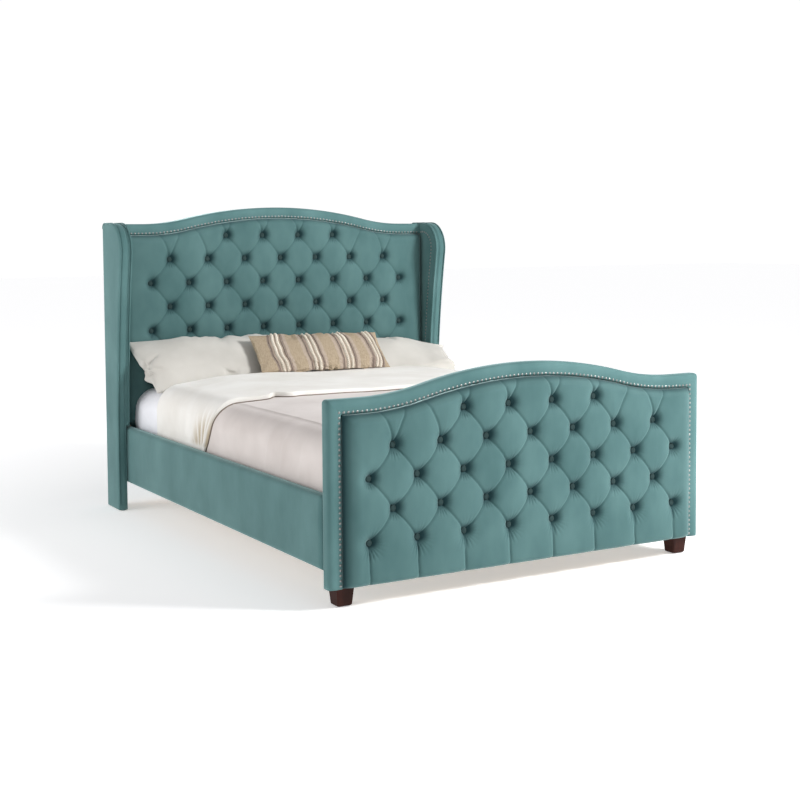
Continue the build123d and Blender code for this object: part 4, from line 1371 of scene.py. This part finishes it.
def band(count, world, numbers, column, columns):
    """Two plaited cords up the front of the cushion, each of three strands, and two thin ribs."""
    step = 0.7 / columns
    for side in (-1, 1):
        line, across, normal = surface_line(world, numbers, column + side * 0.011 / step)
        run = np.concatenate([[0], np.cumsum(np.linalg.norm(np.diff(line, axis=0), axis=1))])
        fine = np.linspace(0.004, run[-1] - 0.004, 150)
        base, width, out = (
            np.stack([np.interp(fine, run, part[:, k]) for k in range(3)], -1)
            for part in (line, across, normal)
        )
        for strand in range(3):
            phase = 2 * math.pi * fine / 0.030 + strand * 2 * math.pi / 3
            sway = 0.0052 * np.sin(phase)
            lift = 0.0030 + 0.0020 * np.cos(2 * phase)
            path = base + width * sway[:, None] + out * lift[:, None]
            name = f"braid_{count + 1}_{'left' if side < 0 else 'right'}_{strand + 1}"
            cord = tube(name, path, 0.0026, CREAM_CORD, segments=7, body="lumbar_pillow")
        line, across, normal = surface_line(world, numbers, column + side * 0.030 / step)
        rib = tube(f"rib_{count + 1}_{'left' if side < 0 else 'right'}", line + normal * 0.001, 0.0022,
                   TAUPE_WEAVE, segments=7, body="lumbar_pillow")


# ------------------------------------------------------------------ stage
CAMERA_AT = (-2.9545, -5.2284, 1.2864)
CAMERA_YAW = math.radians(30.18)
CAMERA_PITCH = math.radians(3.51)
CAMERA_ROLL = math.radians(-0.41)
CAMERA_LENS = 61.68
CAMERA_SHIFT = (0.0015, -0.100)


def camera():
    data = bpy.data.cameras.new("camera")
    data.lens = CAMERA_LENS
    data.sensor_width = 36
    data.shift_x, data.shift_y = CAMERA_SHIFT
    data.clip_end = 100
    obj = bpy.data.objects.new("camera", data)
    bpy.context.scene.collection.objects.link(obj)
    ahead = Vector((
        math.sin(CAMERA_YAW) * math.cos(CAMERA_PITCH),
        math.cos(CAMERA_YAW) * math.cos(CAMERA_PITCH),
        -math.sin(CAMERA_PITCH),
    ))
    right = Vector((math.cos(CAMERA_YAW), -math.sin(CAMERA_YAW), 0))
    up = right.cross(ahead)
    c, s = math.cos(CAMERA_ROLL), math.sin(CAMERA_ROLL)
    right, up = c * right + s * up, -s * right + c * up
    turn = Matrix((right, up, -ahead)).transposed().to_4x4()
    obj.matrix_world = Matrix.Translation(CAMERA_AT) @ turn
    bpy.context.scene.camera = obj


def area_light(name, at, target, size, power, colour=(1, 1, 1)):
    data = bpy.data.lights.new(name, "AREA")
    data.shape = "RECTANGLE"
    data.size, data.size_y = size
    data.energy = power
    data.color = colour
    obj = bpy.data.objects.new(name, data)
    bpy.context.scene.collection.objects.link(obj)
    obj.location = at
    obj.rotation_euler = (Vector(target) - Vector(at)).to_track_quat("-Z", "Y").to_euler()


def studio():
    """A white floor that glows as painted light, dimmer near the bed and brighter further out, under a
    pale sky that is brightest at the horizon, and three soft lights.
    """
    material, tree, shader = new_material("studio_white")
    shader.inputs["Base Color"].default_value = (0.94, 0.94, 0.94, 1)
    shader.inputs["Roughness"].default_value = 0.95
    shader.inputs["Specular IOR Level"].default_value = 0.0
    spot = add(tree, "ShaderNodeTexCoord")
    away = add(tree, "ShaderNodeVectorMath", operation="LENGTH")
    tree.links.new(spot.outputs["Object"], away.inputs[0])
    reach = add(tree, "ShaderNodeMapRange")
    reach.inputs["From Min"].default_value = 1.7
    reach.inputs["From Max"].default_value = 4.0
    tree.links.new(away.outputs["Value"], reach.inputs["Value"])
    # Painted light: the floor glows, dimly near the bed and more further out.
    glow = ramp(tree, reach.outputs["Result"], [(0.0, (0.36, 0.36, 0.36)), (1.0, (0.66, 0.66, 0.66))])
    tree.links.new(glow, shader.inputs["Emission Color"])
    shader.inputs["Emission Strength"].default_value = 1.0
    size = 40.0
    corners = [(-size, -size, 0), (size, -size, 0), (size, size, 0), (-size, size, 0)]
    mesh = bpy.data.meshes.new("floor")
    mesh.from_pydata(corners, [], [(0, 1, 2, 3)])
    floor = bpy.data.objects.new("floor", mesh)
    bpy.context.scene.collection.objects.link(floor)
    floor.data.materials.append(material)
    world = bpy.data.worlds.new("world")
    world.use_nodes = True
    tree = world.node_tree
    coordinates = add(tree, "ShaderNodeTexCoord")
    split = add(tree, "ShaderNodeSeparateXYZ")
    tree.links.new(coordinates.outputs["Generated"], split.inputs["Vector"])
    sky = ramp(tree, split.outputs["Z"], [(0.20, (1.02, 1.02, 1.02)), (0.42, (0.27, 0.27, 0.28))])
    tree.links.new(sky, tree.nodes["Background"].inputs["Color"])
    bpy.context.scene.world = world
    area_light("key", (3.2, -3.7, 3.3), (0, -0.2, 0.6), (1.3, 1.3), 340)
    area_light("fill", (-5.0, 1.2, 2.2), (0, 0.4, 0.6), (3.0, 3.0), 85)
    area_light("top", (0.3, 0.5, 4.5), (0, 0, 0), (3.0, 3.0), 14)
    bpy.context.scene.view_settings.view_transform = "Standard"


# ------------------------------------------------------------------ build
def frame_materials():
    """Materials for the carried-over CAD pieces, by the record's slot."""
    return {
        "velvet": VELVET,
        "pine": PINE,
        "plywood": wood_material("plywood", (0.36, 0.24, 0.13), (0.55, 0.40, 0.24), 0.65, (0.3, 1, 1)),
        "black_steel": metal_material("black_steel", (0.03, 0.03, 0.032), 0.5, 300),
        "zinc_steel": metal_material("zinc_steel", (0.6, 0.6, 0.58), 0.35, 500),
        "glide_plastic": plastic_material("glide_plastic", (0.03, 0.03, 0.032), 0.55),
        "espresso_wood": ESPRESSO,
        "nickel_nails": NICKEL,
        "mattress_ticking": TICKING,
        "white_cotton": WHITE_COTTON,
        "duvet_cotton": DUVET,
        "pillow_cotton": PILLOW,
        "woven_stripe": TAN_WEAVE,
    }


def dress_frame():
    """Gives every CAD piece that still shows the material of its slot."""
    by_slot = frame_materials()
    for part in frame["record"]["subparts"]:
        obj = frame["nodes"][part["node"]]
        obj.data.materials.clear()
        obj.data.materials.append(by_slot[part["material_slot"]])


VELVET = velvet_material("velvet")
# Painted shade: a much darker copy of the velvet for the buttons.
SHADED_BUTTON_VELVET = velvet_material("button_velvet_painted_shade", buttons=True)
TUFTED = velvet_material("tufted_velvet_painted_shade", painted_shade=True)
ESPRESSO = wood_material("espresso", (0.020, 0.0045, 0.0025), (0.042, 0.0100, 0.0060), 0.6, (1, 1, 0.15))
PINE = wood_material("pine", (0.42, 0.27, 0.13), (0.66, 0.47, 0.27), 0.6, (0.6, 0.12, 0.6))
NICKEL = metal_material("nickel", (0.30, 0.31, 0.30), 0.32, 900)
WHITE_COTTON = cotton_material("white_sheet", (0.82, 0.82, 0.86), (0.88, 0.88, 0.92), crumple=0.3)
TICKING = cotton_material("ticking", (0.60, 0.60, 0.60), (0.70, 0.70, 0.70), crumple=0.3)
DUVET = cotton_material("duvet_cloth", (0.61, 0.55, 0.52), (0.69, 0.63, 0.60), crumple=0.35)
# The third colour is painted shade, the tan that the pleats' valleys turn to.
FACE_SHADE, FACE_LIGHT, FACE_PLEAT_SHADE = (0.76, 0.73, 0.68), (0.84, 0.82, 0.78), (0.47, 0.39, 0.28)
DUVET_FACE = cotton_material("duvet_face", FACE_SHADE, FACE_LIGHT, crumple=0.35, pleat_shade_colour=FACE_PLEAT_SHADE)
PILLOW = cotton_material("pillow_cloth", (0.52, 0.50, 0.46), (0.60, 0.58, 0.54), crumple=0.35)
TAUPE = cotton_material("taupe_cord", (0.14, 0.11, 0.085), (0.24, 0.19, 0.15), crumple=0.2)
TAN_WEAVE = weave_material("tan_weave", (0.29, 0.228, 0.152), (0.44, 0.358, 0.262))
ROSE_WEAVE = weave_material("rose_weave", (0.33, 0.27, 0.21), (0.48, 0.395, 0.325))
TAUPE_WEAVE = weave_material("taupe_weave", (0.20, 0.155, 0.125), (0.33, 0.265, 0.225))
CREAM_CORD = cotton_material("cream_cord", (0.60, 0.53, 0.44), (0.80, 0.74, 0.64), crumple=0.2)

camera()
studio()
dress_frame()

for board, top_of, row_step, step, side_round, seed in (
    ("footboard", foot_top, FOOT_ROW, 0.0030, 0.060, 11),
    ("headboard", head_top, HEAD_ROW, 0.0036, 0.045, 12),
):
    pad_node, button_node = f"{board}_tufted_pad", f"{board}_buttons"
    tufted_pad(f"{board}_tufting", pad_node, button_node, top_of, row_step, TUFTED, step, side_round, seed)
covered_buttons("footboard_covered_buttons", "footboard_buttons", SHADED_BUTTON_VELVET)
covered_buttons("headboard_covered_buttons", "headboard_buttons", SHADED_BUTTON_VELVET)
nail_heads("footboard_nail_trim", "footboard_nails", NICKEL)
nail_heads("headboard_nail_trim", "headboard_nails", NICKEL)
footboard_border(VELVET)
headboard_border(VELVET)
RAIL_TOP = high("rail_cover_left").z
PAD_FOOT = low("headboard_tufted_pad").z
headboard_lower_cover("headboard_lower_cloth", 0.787, low("rail_cover_left").z, RAIL_TOP + 0.0015, VELVET)
headboard_lower_cover("headboard_gap_cloth", 0.835, RAIL_TOP + 0.0016, PAD_FOOT + 0.0006, VELVET)
for side, sign in (("left", -1), ("right", 1)):
    wing(side, sign, VELVET)
    rail(side, sign, VELVET)
    leg(side, ESPRESSO)

mattress()
fitted_sheet()
duvet()
turned_down_top()
pillow("left", 41, (-0.806, -0.010), 0)
pillow("right", 42, (0.012, 0.868), 1)
lumbar_cushion()
